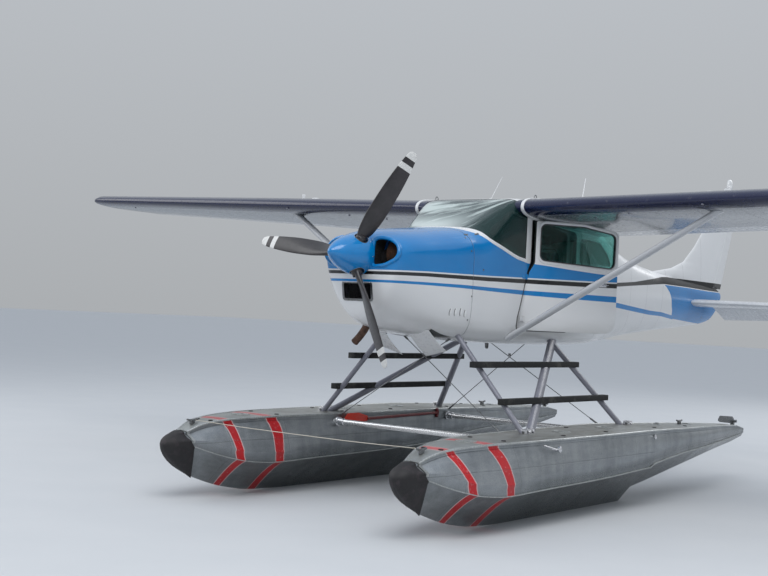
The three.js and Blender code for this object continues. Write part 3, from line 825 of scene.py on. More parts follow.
@dataclass(frozen=True)
class Livery(Finish):
    """White paint with the blue belt, pinstripe, black stripe and lower stripe."""

    open_by: float = 0.0
    seams_y: tuple = ()
    coated: bool = True

    BELT = ((-1.4, .9), (.03, .9), (.05, .31), (.16, .262), (.233, .213), (.414, .147),
            (.628, .080), (.79, .050), (.98, .036), (1.21, .014), (1.45, -.005),
            (1.7, -.023), (2.7, -.098), (6.7, -.2))
    STRIPE = ((-1.3, -.160), (-.93, -.147), (-.62, -.139), (-.18, -.135), (.23, -.131),
              (.79, -.120), (1.3, -.118), (1.7, -.114), (2.7, -.062), (3.6, -.005),
              (4.4, .046), (5.3, .052), (6.1, .0475), (7.3, .048))
    HALF = ((-1.3, .0125), (.8, .0195), (1.7, .021), (4.4, .020), (5.3, .024), (6.0, .0275),
            (7.3, .029))
    LOWER = ((-1.3, -.222), (-1.0, -.216), (-.6, -.2135), (-.17, -.213), (.24, -.2187),
             (.79, -.2255), (1.18, -.2325), (1.7, -.241), (2.7, -.262), (4.0, -.318),
             (4.43, -.3245), (4.97, -.36))
    LOWER_HALF = ((-1.3, .010), (-.6, .012), (.24, .017), (.79, .021), (1.18, .025),
                  (1.7, .028), (4.4, .0235), (4.97, .02))
    PANEL_END = ((-.36, 4.82), (-.31, 4.80), (-.2625, 4.773), (-.225, 4.735), (-.13, 4.689),
                 (-.065, 4.616), (-.013, 4.504), (.034, 4.377), (.07, 4.3))
    BLUE_FOOT = ((4.0, -.340), (4.48, -.348), (4.97, -.371), (5.58, -.393), (6.6, -.43),
                 (7.3, -.46))
    PIN = .013          # white line between the belt and the black stripe
    LOWER_END = 4.9     # where the lower stripe stops
    PANEL_START = 4.2   # nothing of the blue tail panel lies before this
    PANEL_GAP = .0085   # white line between the black stripe and the tail panel
    LAP = .0016         # half the width of a seam
    RIVET = (.00625, .0026, .012)   # spacing, radius and distance from the seam

    def build(self, tree: Tree) -> bpy.types.Material:
        """Lay the stripes by height and station, with seams and rivets as relief."""
        if self.open_by:
            tree.swung(DOOR_HINGE, self.open_by)
        x, y, z = tree.place()
        centre, half = tree.line(y, self.STRIPE), tree.line(y, self.HALF)
        top, bottom = centre + half, centre - half
        belt = tree.step(tree.line(y, self.BELT) - z) * tree.step(z - top - self.PIN)
        wide, dull = tree.spread(y, 0, .052, 3.4, 4.7), tree.spread(y, 0, 1, 4.0, 4.4)
        black = tree.most(tree.step(half - abs(z - centre)),
                          tree.step(z - centre) * tree.step(top + wide - z))
        dull = dull * tree.step(z - bottom)
        low = tree.step(tree.line(y, self.LOWER_HALF) - abs(z - tree.line(y, self.LOWER)))
        low = low * tree.step(self.LOWER_END - y)
        tail = tree.step(y - tree.line(z, self.PANEL_END)) * tree.step(y - self.PANEL_START)
        tail = tail * tree.step(bottom - self.PANEL_GAP - z)
        tail = tail * tree.step(z - tree.line(y, self.BLUE_FOOT))
        blue = tree.most(belt, low, tail)
        broad = tree.noise(1.7, 4, rough=0.62)
        fine = tree.noise(30, 3)
        colour = tree.mix(tree.spread(broad, 0, .10, .4, .7), WHITE, tone(196, 198, 198))
        streak = tree.noise(4, 4, (1, .25, 1))
        soot = tree.spread(z, 1, 0, -.66, -.42) * tree.spread(streak, 0, .42, .42, .66)
        colour = tree.mix(soot, colour, tone(120, 118, 112))
        colour = tree.mix(blue, colour, tree.mix(tree.spread(broad, 0, .5, .35, .7), BLUE,
                                                 tone(4, 106, 172)))
        colour = tree.mix(black, colour, BLACK)
        seam, rivet = self.relief(tree, x, y, z)
        colour = tree.mix(seam * 0.55, colour, tone(70, 74, 78))
        return tree.finish(
            Base_Color=colour,
            Roughness=tree.spread(fine, .16, .27, .3, .7) * (1 - dull) + dull * .72,
            Coat_Weight=0.45 if self.coated else 0.0, Coat_Roughness=0.06,
            Normal=tree.bump(rivet - seam, 0.0012, 0.55))

    def relief(self, tree: Tree, x: Wire, y: Wire, z: Wire) -> tuple[Wire, Wire]:
        """Lap seams round the body and the rivets beside them.

        Args:
            tree: the tree.
            x: place to port.
            y: place aft.
            z: height.

        Returns:
            Masks of the seams and the rivets.
        """
        if not self.seams_y:
            bare = tree.step(y * 0.0 - 1.0)
            return bare, bare
        round_it = z - abs(x) * tree.spread(z, -1, 1, -.02, .02)
        half, radius, beside = self.RIVET
        away = [abs(y - at) for at in self.seams_y]
        return (tree.most(*(tree.step(self.LAP - gap, 0.0014) for gap in away)),
                tree.most(*(tree.dots(round_it, gap - beside, half, radius) for gap in away)))


@dataclass(frozen=True)
class WingPaint(Finish):
    """White wing skin with a dark band along the leading edge, rib lines and rivets, and painted
    shade: a darkened underside, or an evenly greyed surface where there is no band.
    """

    band: bool = True
    beads: float = 0.0
    edge: tuple = ((-5.5, .80), (-5.38, .726), (-2.6, .663), (-.5, .615), (.5, .615),
                   (2.6, .663), (5.38, .726), (5.5, .80))
    edge_z: tuple = ((-5.5, .690), (-5.38, .695), (-2.6, .613), (-.5, .552), (.5, .552),
                     (2.6, .613), (5.38, .695), (5.5, .690))

    def build(self, tree: Tree) -> bpy.types.Material:
        """Band by the distance behind the leading edge, ribs by the span, and painted shade below
        the leading-edge line.
        """
        x, y, z = tree.place()
        broad, fine = tree.noise(1.3, 4, rough=0.6), tree.noise(30, 3)
        streak = tree.noise(9, 3, (1, .12, 1))
        colour = tree.mix(tree.spread(broad * .6 + streak * .4, 0, .38, .42, .66),
                          tone(214, 216, 219), tone(168, 172, 178))
        height = fine * 0.02
        if self.beads:
            wave = tree.math("PINGPONG", x, self.beads / 2) * (2 / self.beads)
            height = height + tree.spread(wave, 0, 1, .15, .85)
        else:
            rib = tree.math("PINGPONG", x + 0.1, 0.19)
            line = tree.step(0.0015 - rib, 0.0014)
            spar = abs(y - 1.02 - abs(x) * 0.012) - 0.012
            rivets = tree.most(tree.dots(y, rib - 0.010, 0.0065, 0.0025),
                               tree.dots(x, spar, 0.0065, 0.0025))
            height = height + rivets - line * 0.6
            colour = tree.mix(line * 0.35, colour, tone(120, 124, 130))
        if self.band:
            back = y - tree.line(x, self.edge)
            above = tree.step(z - tree.line(x, self.edge_z) + back * .085, .006)
            # painted shade: below the leading-edge line the underside is darkened to grey
            colour = tree.mix(above, tree.mix(.85, colour, tone(64, 70, 80)), colour)
            left = above * .11 + .13 - back
            tip = tree.step(abs(x) - 5.33)
            colour = tree.mix(tree.step(.007 - abs(left)) * .7, colour, tone(206, 206, 212))
            colour = tree.mix(tree.most(tree.step(left), tip), colour, NAVY)
        else:
            # painted shade: a surface without the band gets an evenly greyed, shaded copy of the
            # wing paint
            colour = tree.mix(.25, colour, tone(120, 124, 132))
        return tree.finish(
            Base_Color=colour, Roughness=tree.spread(fine, .17, .30, .3, .7),
            Coat_Weight=0.4, Coat_Roughness=0.07,
            Normal=tree.bump(height, 0.006 if self.beads else 0.0012, 0.6))


@dataclass(frozen=True)
class FloatSkin(Finish):
    """Weathered bare aluminium with two red bands near the bow, painted shade along and under the
    chine and a painted sky reflection on the deck.
    """

    CHINE = ((-1.95, -1.655), (-1.76, -1.669), (-1.6, -1.721), (-1.5, -1.752), (-1.4, -1.776),
             (-1.2, -1.818), (-.87, -1.827), (-.2, -1.81), (.5, -1.80), (1.06, -1.78),
             (1.6, -1.738), (2.03, -1.703), (2.5, -1.676), (3.16, -1.66), (3.85, -1.641),
             (4.6, -1.608))
    DECK_HALF = ((-1.95, .03), (-1.757, .064), (-1.64, .091), (-1.53, .119), (-1.4, .144),
                 (-1.264, .172), (-.9, .235), (-.5, .275), (.5, .312), (1.6, .33), (2.5, .262),
                 (3.16, .195), (3.85, .108), (4.6, .024))
    DECK_AT = ((-1.95, -1.605), (-1.757, -1.557), (-1.64, -1.510), (-1.53, -1.482),
               (-1.4, -1.466), (-.9, -1.444), (1.6, -1.436), (2.5, -1.458), (3.85, -1.497),
               (4.6, -1.56))
    # z, front edge and rear edge of the two bands
    BANDS = (((-2.12, -1.36, -1.295), (-1.80, -1.375, -1.300), (-1.70, -1.40, -1.330),
              (-1.65, -1.42, -1.348), (-1.60, -1.44, -1.367), (-1.55, -1.46, -1.385),
              (-1.50, -1.49, -1.407), (-1.46, -1.53, -1.445), (-1.38, -1.535, -1.45)),
             ((-2.12, -.93, -.84), (-1.80, -.944, -.850), (-1.70, -.962, -.860),
              (-1.60, -.985, -.874), (-1.55, -1.005, -.890), (-1.50, -1.03, -.915),
              (-1.46, -1.065, -.955), (-1.38, -1.07, -.965)))

    def build(self, tree: Tree) -> bpy.types.Material:
        """Metal by noise and streaks, bands by height and station."""
        x, y, z = tree.place()
        broad = tree.noise(1.6, 5, rough=0.62)
        grain = tree.noise(24, 3, (1, .25, 1))
        drip = tree.noise(10, 4, (1, 1, .12))
        fine = tree.noise(120, 2)
        colour = tree.mix(tree.spread(broad, 0, 1, .32, .70), tone(156, 160, 163),
                          tone(126, 131, 134))
        colour = tree.mix(tree.spread(drip * .6 + grain * .4, 0, .32, .42, .66), colour,
                          tone(190, 193, 194))
        colour = tree.mix(tree.spread(fine, 0, .22, .45, .72), colour, tone(92, 96, 98))
        up = z - tree.line(y, self.CHINE)
        # painted shade: a dark strip just above the chine, a little glossier, and mottled darkening
        # below the chine
        shaded_strake = tree.step(0.075 - up + (broad - .5) * 0.05, 0.06) * tree.step(y + 0.8, 0.9)
        shade_below_chine = tree.spread(up, 1, 0, -.02, .10) * tree.spread(drip, .2, .8, .35, .6)
        colour = tree.mix(tree.most(shaded_strake * .42, shade_below_chine * .45), colour, tone(52, 58, 54))
        aside = abs(abs(x) - FLOAT_X)
        edge_in, deck_at = tree.line(y, self.DECK_HALF), tree.line(y, self.DECK_AT)
        deck = tree.step(edge_in - .012 - aside, .004) * tree.step(z - deck_at + .02, .006)
        tread = tree.spread(y, 0, 1, -1.2, -.5) * tree.spread(y, 1, .35, 1.6, 3)
        # painted reflection: the deck top is paler than the sides, as if lit by the sky, in patches
        # by noise
        colour = tree.mix(deck * .8, colour, tree.mix(tree.spread(broad, 0, .7, .35, .7),
                                                      tone(188, 191, 188), tone(138, 138, 132)))
        colour = tree.mix(deck * tread * tree.spread(grain, .15, .6, .35, .6), colour,
                          tone(124, 119, 108))
        bands, rims = [], []
        at = y - tree.step(-x, .1) * tree.spread(z, .02, .10, -1.72, -1.47)
        for rows in self.BANDS:
            front = at - tree.line(z, [(r[0], r[1]) for r in rows])
            rear = tree.line(z, [(r[0], r[2]) for r in rows]) - at
            inside = tree.math("MINIMUM", front, rear)
            bands.append(tree.step(inside, .002))
            rims.append(tree.step(inside + 0.009, .003))
        red, edge = tree.most(*bands), tree.most(*rims)
        worn = tree.spread(tree.noise(46, 4), 1, .72, .60, .70) * (1 - deck * .2)
        colour = tree.mix(edge * .8, colour, tone(206, 170, 168))
        colour = tree.mix(red * worn, colour, tree.mix(tree.spread(broad, 0, 1, .35, .7),
                                                       tone(186, 22, 30), tone(148, 14, 22)))
        metal = tree.spread(red + edge, .78, 0, 0, .6)
        rise = tree.spread(y, -.03, 0, -1.9, -1.3)
        lap = tree.step(0.0016 - abs(z - FLOAT_LAP - rise), .0015) * tree.step(1.6 - y)
        bay = tree.math("PINGPONG", y + .1, .33)
        seams = tree.most(lap, tree.step(0.0014 - bay, .0014))
        rivets = tree.most(tree.dots(z + abs(x - FLOAT_X) * .6, bay - 0.012, 0.0065, .003),
                           tree.dots(y, abs(z - FLOAT_LAP) - .012, 0.0065, .003))
        colour = tree.mix(seams * .5, colour, tone(60, 63, 64))
        rough = tree.spread(broad * .5 + fine * .5, .30, .48, .3, .7) - shaded_strake * .12
        dents = tree.noise(3.1, 2) * 2.2 + grain * .12
        return tree.finish(
            Base_Color=colour, Metallic=metal, Roughness=rough,
            Normal=tree.bump(rivets - seams, 0.0016, .6, tree.bump(dents, 0.006, .55)))


@dataclass(frozen=True)
class Metal(Finish):
    """Bare or plated metal with fine scratches and dull spots."""

    colour: Point = tone(190, 192, 194)
    rough: float = 0.3
    spots: Point = tone(120, 122, 124)
    amount: float = 0.3
    metallic: float = 1.0

    def build(self, tree: Tree) -> bpy.types.Material:
        """Colour and roughness from two layers of noise."""
        broad, fine = tree.noise(6, 4, rough=0.65), tree.noise(90, 3)
        return tree.finish(
            Base_Color=tree.mix(tree.spread(broad * .5 + fine * .5, 0, self.amount * 2, .42, .7),
                                self.colour, self.spots),
            Metallic=self.metallic,
            Roughness=tree.spread(fine, self.rough - .08, self.rough + .15, .3, .7),
            Normal=tree.bump(fine, 0.0008, .25))


@dataclass(frozen=True)
class Rubber(Finish):
    """Dull rubber or moulded plastic with scuffs."""

    colour: Point = tone(24, 24, 25)
    rough: float = 0.6
    scuff: Point = tone(84, 84, 82)
    amount: float = 0.25
    grain: float = 420.0

    def build(self, tree: Tree) -> bpy.types.Material:
        """Scuffs by noise over a fine moulded grain."""
        broad = tree.noise(14, 5, rough=0.7)
        return tree.finish(
            Base_Color=tree.mix(tree.spread(broad, 0, self.amount * 2, .50, .72), self.colour,
                                self.scuff),
            Roughness=tree.spread(broad, self.rough - .08, self.rough + .12, .35, .7),
            Normal=tree.bump(tree.noise(self.grain, 2), 0.0006, .35))


@dataclass(frozen=True)
class Rust(Finish):
    """Burnt steel of the exhaust, from grey to rusty brown."""

    def build(self, tree: Tree) -> bpy.types.Material:
        """Scale and rust by coarse and fine noise."""
        broad, fine = tree.noise(17, 6, rough=0.7), tree.noise(150, 3)
        colour = tree.mix(tree.spread(broad, 0, 1, .38, .62), tone(66, 52, 45), tone(98, 68, 52))
        colour = tree.mix(tree.spread(fine, 0, .6, .5, .7), colour, tone(54, 46, 42))
        return tree.finish(Base_Color=colour, Metallic=tree.spread(broad, .55, .1, .4, .6),
                           Roughness=tree.spread(fine, .55, .85, .3, .7),
                           Normal=tree.bump(broad, 0.002, .4))


@dataclass(frozen=True)
class Pane(Finish):
    """Tinted acrylic, clear in front and shiny at a low angle, with faint haze."""

    tint: Point = tone(96, 132, 128)
    cover: float = 0.30

    def build(self, tree: Tree) -> bpy.types.Material:
        """Alpha grows with the Fresnel reflection, and streaks of haze dull it."""
        glance = tree.node("ShaderNodeFresnel", {}, {"IOR": 1.5})
        haze = tree.spread(tree.noise(7, 5, (1, .35, .35), .7), 0, .08, .45, .7)
        alpha = tree.total(glance * (1 - self.cover) * 1.15 + self.cover, haze)
        return tree.finish(
            Base_Color=tree.mix(haze * 2, self.tint, tone(190, 214, 208)),
            Roughness=tree.spread(haze, .02, .12, 0, .16), Alpha=alpha,
            Transmission_Weight=.98, Coat_Weight=.1, Coat_Roughness=0.02, IOR=1.3,
            Normal=tree.bump(tree.noise(2.6, 2), 0.02, .10))


@dataclass(frozen=True)
class Windscreen(Pane):
    """Windshield with a painted reflection of the sky: pale streaks that fan out from its upper
    port corner.
    """

    corner: Point = (.52, .70, .66)

    def build(self, tree: Tree) -> bpy.types.Material:
        """Painted reflection streaks by the angle about the corner, thicker to starboard and low
        down.
        """
        x, y, z = tree.place()
        aside, down = self.corner[0] - x, self.corner[2] - z
        turn = tree.math("ARCTAN2", aside, down)
        reach = tree.math("SQRT", aside * aside + down * down)
        fan = tree.node("ShaderNodeCombineXYZ", {}, {0: turn * 5.5, 1: reach * .9, 2: y * .4})
        streak = tree.node("ShaderNodeTexNoise", {}, {"Vector": fan, "Scale": 1.6,
                                                      "Detail": 4.0, "Roughness": .62})
        # painted reflection of the sky, growing away from the upper port corner
        sky_reflection = tree.spread(turn + (streak - .5) * .5, 0, 1, .36, .78)
        low = tree.spread(z, 1, .0, .33, .50)
        # painted highlight streaks within the reflection, brightest low down to starboard
        bright = tree.most(tree.spread(streak, 0, .8, .46, .64),
                           low * tree.spread(turn, 0, 1, .6, 1.1)) * sky_reflection
        glance = tree.node("ShaderNodeFresnel", {}, {"IOR": 1.5})
        alpha = tree.total(glance * .6 + self.cover, sky_reflection * .30 + bright * .32)
        # colours of the painted reflection
        reflection_colour = tree.mix(bright, tone(46, 68, 68), tone(206, 220, 216))
        return tree.finish(
            Base_Color=tree.mix(sky_reflection, self.tint, reflection_colour),
            Roughness=tree.spread(sky_reflection, .04, .16), Alpha=alpha, Coat_Weight=1.0,
            Coat_Roughness=0.02, IOR=1.5, Normal=tree.bump(tree.noise(2.6, 2), 0.02, .10))


@dataclass(frozen=True)
class Dial(Finish):
    """Black instrument faces with pale ticks, one to each cell of a grid."""

    pitch: float = .095

    def build(self, tree: Tree) -> bpy.types.Material:
        """Ticks and a needle by the angle about the middle of each cell."""
        x, _, z = tree.place()
        p = self.pitch
        u = tree.math("WRAP", x, p, 0.0) - p / 2
        v = tree.math("WRAP", z - .0325, p, 0.0) - p / 2
        out = tree.math("SQRT", u * u + v * v)
        angle = tree.math("ARCTAN2", u, v)
        beat = tree.math("PINGPONG", angle, math.pi / 20)
        ring = tree.step(out - .027, .0006) * tree.step(.034 - out, .0006)
        tick = tree.step(.03 - beat, .02) * ring
        hand = tree.step(.0013 - abs(u + v * .6), .0006) * tree.step(v, .001)
        hand = hand * tree.step(.026 - out, .001)
        return tree.finish(
            Base_Color=tree.mix(tree.most(tick, hand), tone(16, 16, 18), tone(214, 212, 200)),
            Roughness=tree.spread(tree.noise(40), .2, .34, .3, .7), Coat_Weight=.6)


@dataclass(frozen=True)
class BladePaint(Finish):
    """Dark satin blade with white and black bands at the tip."""

    def build(self, tree: Tree) -> bpy.types.Material:
        """Bands by the distance from the shaft."""
        x, _, z = tree.place()
        out = tree.math("SQRT", x * x + z * z)
        fine, broad = tree.noise(60, 3), tree.noise(9, 4, rough=.65)
        colour = tree.mix(tree.spread(broad, 0, .5, .4, .7), tone(30, 27, 29), tone(58, 52, 56))
        white = tree.most(tree.step(out - .945), tree.step(out - .845) * tree.step(.895 - out))
        colour = tree.mix(white, colour, tree.mix(tree.spread(fine, 0, .3, .5, .7),
                                                  tone(214, 214, 212), tone(150, 150, 148)))
        return tree.finish(Base_Color=colour, Roughness=tree.spread(fine, .30, .46, .3, .7),
                           Coat_Weight=.35, Coat_Roughness=.18,
                           Normal=tree.bump(fine, .0006, .2))


@dataclass(frozen=True)
class Cloth(Finish):
    """Woven seat cloth with a ribbed centre."""

    colour: Point = tone(58, 66, 78)
    dark: Point = tone(34, 40, 50)

    def build(self, tree: Tree) -> bpy.types.Material:
        """A weave of two crossed waves, with pile by noise."""
        x, y, z = tree.place()
        warp = tree.math("PINGPONG", x, .0016) * 625
        weft = tree.math("PINGPONG", y + z, .0016) * 625
        pile = tree.noise(210, 3)
        weave = tree.most(warp, weft)
        broad = tree.noise(7, 4)
        colour = tree.mix(tree.spread(weave * .5 + pile * .5, 0, 1, .3, .75), self.dark,
                          self.colour)
        colour = tree.mix(tree.spread(broad, 0, .35, .45, .7), colour, tone(96, 100, 106))
        return tree.finish(Base_Color=colour, Roughness=tree.spread(pile, .82, .97, .3, .7),
                           Sheen_Weight=.25, Normal=tree.bump(weave + pile * .4, .0009, .5))


@dataclass(frozen=True)
class Grit(Finish):
    """Dark walkway board with bonded grit and paler wear."""

    def build(self, tree: Tree) -> bpy.types.Material:
        """Grains by fine noise, wear by broad noise."""
        grain, broad = tree.noise(320, 2), tree.noise(5, 5, rough=.7)
        colour = tree.mix(tree.spread(grain, 0, 1, .4, .65), tone(20, 21, 22), tone(48, 49, 50))
        colour = tree.mix(tree.spread(broad, 0, .5, .52, .7), colour, tone(102, 100, 94))
        return tree.finish(Base_Color=colour, Roughness=tree.spread(grain, .75, .95, .3, .7),
                           Normal=tree.bump(grain, .0012, .6))


@dataclass(frozen=True)
class Twist(Finish):
    """Laid rope, its strands by a slanted wave."""

    colour: Point = tone(214, 208, 194)

    def build(self, tree: Tree) -> bpy.types.Material:
        """Strands across the run of the rope."""
        x, y, z = tree.place()
        lay = tree.math("PINGPONG", x + y * .7 + z, .006) * 160
        return tree.finish(Base_Color=tree.mix(tree.spread(lay, 0, .5, .1, .9), self.colour,
                                               tone(128, 120, 102)),
                           Roughness=tree.spread(tree.noise(80), .75, .95, .3, .7),
                           Normal=tree.bump(lay, .0015, .6))


TAIL_SEAMS = (2.75, 3.29, 3.83, 4.37, 4.93, 5.42, 5.95)
LIVERY = Livery("livery paint", 0.0, ())
LIVERY_CABIN = Livery("livery paint, cabin", 0.0, (2.30,))
LIVERY_TAIL = Livery("livery paint, tail", 0.0, TAIL_SEAMS, False)
LIVERY_DOOR = Livery("livery paint, open door", DOOR_OPEN, ())
PAINT_WHITE = Enamel("white paint")
PAINT_INSIDE = Enamel("cabin lining", tone(46, 48, 46), 0.6, 0.2, 0.0)
PAINT_GREY = Enamel("grey strut paint", tone(128, 129, 140), 0.34, 0.45, 0.15)
PAINT_STRUT = Enamel("pale lift strut paint", tone(184, 186, 190), 0.22, 0.3, 0.4)
PAINT_BLUE = Enamel("blue spinner paint", BLUE, 0.16, 0.25, 0.6)
PAINT_ORANGE = Enamel("orange paddle paint", tone(214, 52, 30), 0.45, 0.4, 0.0)
PAINT_RED = Enamel("dark red paddle shaft", tone(112, 26, 30), 0.4, 0.5, 0.1)
WING_SKIN = WingPaint("wing skin")
SURFACE_SKIN = WingPaint("beaded surface skin", False, 0.075)
TAIL_SKIN = WingPaint("tail skin", False)
FLOAT_SKIN = FloatSkin("float skin")
BRIGHT = Metal("polished tube", tone(228, 228, 228), 0.22, tone(206, 203, 199), 0.10, 0.8)
RAIL = Metal("float rail", tone(186, 189, 188), 0.36, tone(120, 122, 118), 0.4, 0.7)
STEEL = Metal("dull steel", tone(140, 142, 144), 0.4, tone(70, 66, 62), 0.45)
CHROME = Metal("bright fitting", tone(226, 226, 228), 0.16, tone(120, 120, 122), 0.2)
CAST = Metal("engine casting", tone(74, 74, 76), 0.5, tone(34, 30, 28), 0.6, 0.6)
BAFFLE = Metal("cylinder baffle", tone(128, 96, 78), 0.5, tone(70, 54, 46), 0.5, 0.4)
RUBBER = Rubber("black rubber", tone(26, 24, 26), .62, tone(66, 58, 62), .35)
GASKET = Rubber("window seal", tone(52, 55, 57), 0.55, tone(110, 112, 112), 0.2)
PLASTIC = Rubber("moulded panel", tone(30, 31, 34), 0.5, tone(60, 62, 64), 0.15, 300)
RUST = Rust("burnt exhaust")
GLASS = Pane("tinted pane", tone(88, 180, 168), .80)
SCREEN = Windscreen("windshield pane", tone(30, 62, 60), .34)
DIAL = Dial("instrument faces")
CARPET = Rubber("cabin carpet", tone(46, 48, 52), .9, tone(84, 84, 82), .3, 700)
BLADE = BladePaint("blade paint")
CLOTH = Cloth("seat cloth")
GRIT = Grit("grit board")
ROPE = Twist("laid rope")
STRAP = Rubber("dark webbing", tone(30, 32, 36), 0.8, tone(70, 72, 74), 0.2, 600)


def dress(piece: Piece, finish: Finish, body: str = "airframe",
          stands_for: Sequence[str] = (), angle: float = 32.0,
          bevel: float = 0.0) -> Piece:
    """Finish a piece, move it into the model's frame and hang it on its body.

    Args:
        piece: the piece, in the frame of the firewall.
        finish: its finish.
        body: the body that it moves with.
        stands_for: the nodes that it replaces.
        angle: faces within this angle are smooth.
        bevel: width of a last bevel on its sharp edges.

    Returns:
        The piece.
    """
    if bevel:
        Bench.refine(piece, "BEVEL", width=bevel, segments=2, limit_method="ANGLE",
                     angle_limit=math.radians(40))
    piece.data.materials.clear()
    piece.data.materials.append(finish.material())
    piece.data.transform(Matrix.Translation(DATUM))
    piece.matrix_world = Matrix.Identity(4)
    Bench.hold(piece)
    bpy.ops.object.shade_smooth_by_angle(angle=math.radians(angle))
    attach(piece, body)
    if stands_for:
        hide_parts(*stands_for)
    LOG.info("%s: %d faces on %s", piece.name, len(piece.data.polygons), body)
    return piece


def twins(name: str, port: Piece, finish: Finish, node: str = "",
          angle: float = 40.0, part: str = "") -> None:
    """Finish a port piece and its starboard copy.

    Args:
        name: their name, without the word for the side.
        port: the port piece.
        finish: their finish.
        node: the node that they replace, without the word for the side.
        angle: faces within this angle are smooth.
        part: the moving body, after the word for the side; else the airframe.
    """
    other = Bench.mirror(port, f"{name}_starboard")
    port.name = port.data.name = f"{name}_port"
    for piece, side in ((port, Side.PORT), (other, Side.STARBOARD)):
        dress(piece, finish, f"{side.word}_{part}" if part else "airframe",
              (f"{node}_{side.word}",) if node else (), angle)


# The body of the aircraft

@dataclass
class Body:
    """Fuselage form: stations of rounded sections, widest line and top and bottom."""

    # station, half width, height of the widest line, top, bottom, roundness above and below
    rows: tuple = (
        (-1.0, .262, 0, .092, -.300, 2.3, 1.8), (-.975, .345, 0, .138, -.430, 2.3, 1.7),
        (-.93, .395, 0, .175, -.545, 2.4, 1.65), (-.8, .425, 0, .220, -.596, 2.5, 1.95),
        (-.4, .462, 0, .270, -.648, 2.7, 3.8), (0, .500, 0, .312, -.675, 3, 6),
        (.10, .504, 0, .3235, -.682, 3.05, 6), (.19, .508, 0, .352, -.69, 3.3, 6),
        (.44, .530, 0, .500, -.700, 6, 6), (.68, .552, 0, .634, -.706, 10, 6),
        (.85, .560, 0, .650, -.708, 11, 6), (1.25, .560, 0, .660, -.708, 11, 6),
        (1.7, .560, 0, .652, -.706, 10, 6),
        (2.25, .540, 0, .570, -.698, 6, 5.4), (2.75, .468, 0, .420, -.672, 4, 4.2),
        (3.5, .365, 0, .270, -.604, 2.8, 3.2), (4.54, .250, -.020, .170, -.518, 2.3, 2.6),
        (5.4, .160, -.040, .115, -.461, 2.2, 2.2), (6.3, .082, -.080, .078, -.360, 2, 2),
        (6.5, .058, -.080, .066, -.250, 2, 2), (6.64, .034, -.050, .020, -.090, 2, 2))
    count: int = 128
    fine: np.ndarray = field(init=False, repr=False)

    def __post_init__(self) -> None:
        """Read the smooth curve once, by the length along its outline."""
        t = np.asarray(self.rows, float)
        run = lengths(t[:, :5])
        self.fine = smooth(np.column_stack([run, t]), np.linspace(0, run[-1], 4000))

    def row(self, y: float) -> np.ndarray:
        """Half width, widest height, top, bottom and the two roundnesses at a station."""
        return np.array([np.interp(y, self.fine[:, 0], self.fine[:, k]) for k in range(1, 7)])

    def stations(self, start: float, end: float, step: float = 0.05) -> list[float]:
        """Stations at even steps along the outline between two places."""
        run = lengths(self.fine[:, [0, 1, 4]])
        a, b = (float(np.interp(v, self.fine[:, 0], run)) for v in (start, end))
        n = max(2, int(round((b - a) / step)) + 1)
        out = [float(np.interp(s, run, self.fine[:, 0])) for s in np.linspace(a, b, n)]
        out[0], out[-1] = start, end
        return out

    def ring(self, y: float, inset: float = 0.0, floor: Optional[float] = None,
             count: int = 0) -> np.ndarray:
        """One section.

        Args:
            y: its station.
            inset: how far inside the skin.
            floor: how far above the bottom, if it differs.
            count: points round it.

        Returns:
            The points, from port over the top.
        """
        w, zw, top, bottom, nt, nb = self.row(y)
        low = inset if floor is None else floor
        count = count or self.count
        quarters = []
        for high, n in ((top - zw - inset, nt), (zw - bottom - low, nb)):
            t = np.linspace(0, math.pi / 2, 361)
            q = np.stack([(w - inset) * np.cos(t) ** (2 / n), high * np.sin(t) ** (2 / n)], 1)
            d = np.diff(q, axis=0)
            length = np.linalg.norm(d, axis=1)
            bend = np.abs(np.diff(np.unwrap(np.arctan2(d[:, 1], d[:, 0])), prepend=0))
            bend[0] = 0
            weight = length / length.sum() + bend / max(bend.sum(), 1e-9)
            s = np.concatenate([[0], np.cumsum(weight)])
            at = np.linspace(0, s[-1], count // 4 + 1)
            quarters.append(np.stack([np.interp(at, s, q[:, k]) for k in (0, 1)], 1))
        up, down = quarters
        half = np.concatenate([up[:-1], (up * [-1, 1])[::-1][:-1],
                               (down * [-1, -1])[:-1], (down * [1, -1])[::-1][:-1]])
        return np.column_stack([half[:, 0], np.full(len(half), y), half[:, 1] + zw])

    def solid(self, name: str, start: float, end: float, inset: float = 0.0,
              floor: Optional[float] = None, step: float = 0.05, count: int = 0) -> Piece:
        """The form between two stations as a closed piece."""
        return Bench.skin(name, [self.ring(y, inset, floor, count)
                                 for y in self.stations(start, end, step)])

    def side(self, y: float, z: float) -> float:
        """Half width of the body at a station and a height."""
        w, zw, top, bottom, nt, nb = self.row(y)
        high, n = (top - zw, nt) if z >= zw else (zw - bottom, nb)
        part = min(abs(z - zw) / high, 1.0)
        return float(w * (1 - part ** n) ** (1 / n))

    def roof(self, x: float, y: float) -> float:
        """Height of the top at a place."""
        w, zw, top, _, nt, _ = self.row(y)
        return float(zw + (top - zw) * (1 - min(abs(x) / w, 1.0) ** nt) ** (1 / nt))

    def level(self, x: float, y: float, z: float) -> float:
        """Below 1 inside the form, 1 on its skin and above 1 outside."""
        w, zw, top, bottom, nt, nb = self.row(y)
        high, n = (top - zw, nt) if z >= zw else (zw - bottom, nb)
        return float((abs(x) / w) ** n + (abs(z - zw) / high) ** n)

    def normal(self, p: Sequence[float]) -> np.ndarray:
        """Direction straight out of the skin at a point on it."""
        p, e = np.asarray(p, float), 1e-4
        g = np.array([self.level(*(p + e * a)) - self.level(*(p - e * a)) for a in np.eye(3)])
        return g / np.linalg.norm(g)

    def normals(self, path: Sequence[Sequence[float]]) -> np.ndarray:
        """Direction straight out of the skin at each point of a path."""
        return np.array([self.normal(p) for p in path])

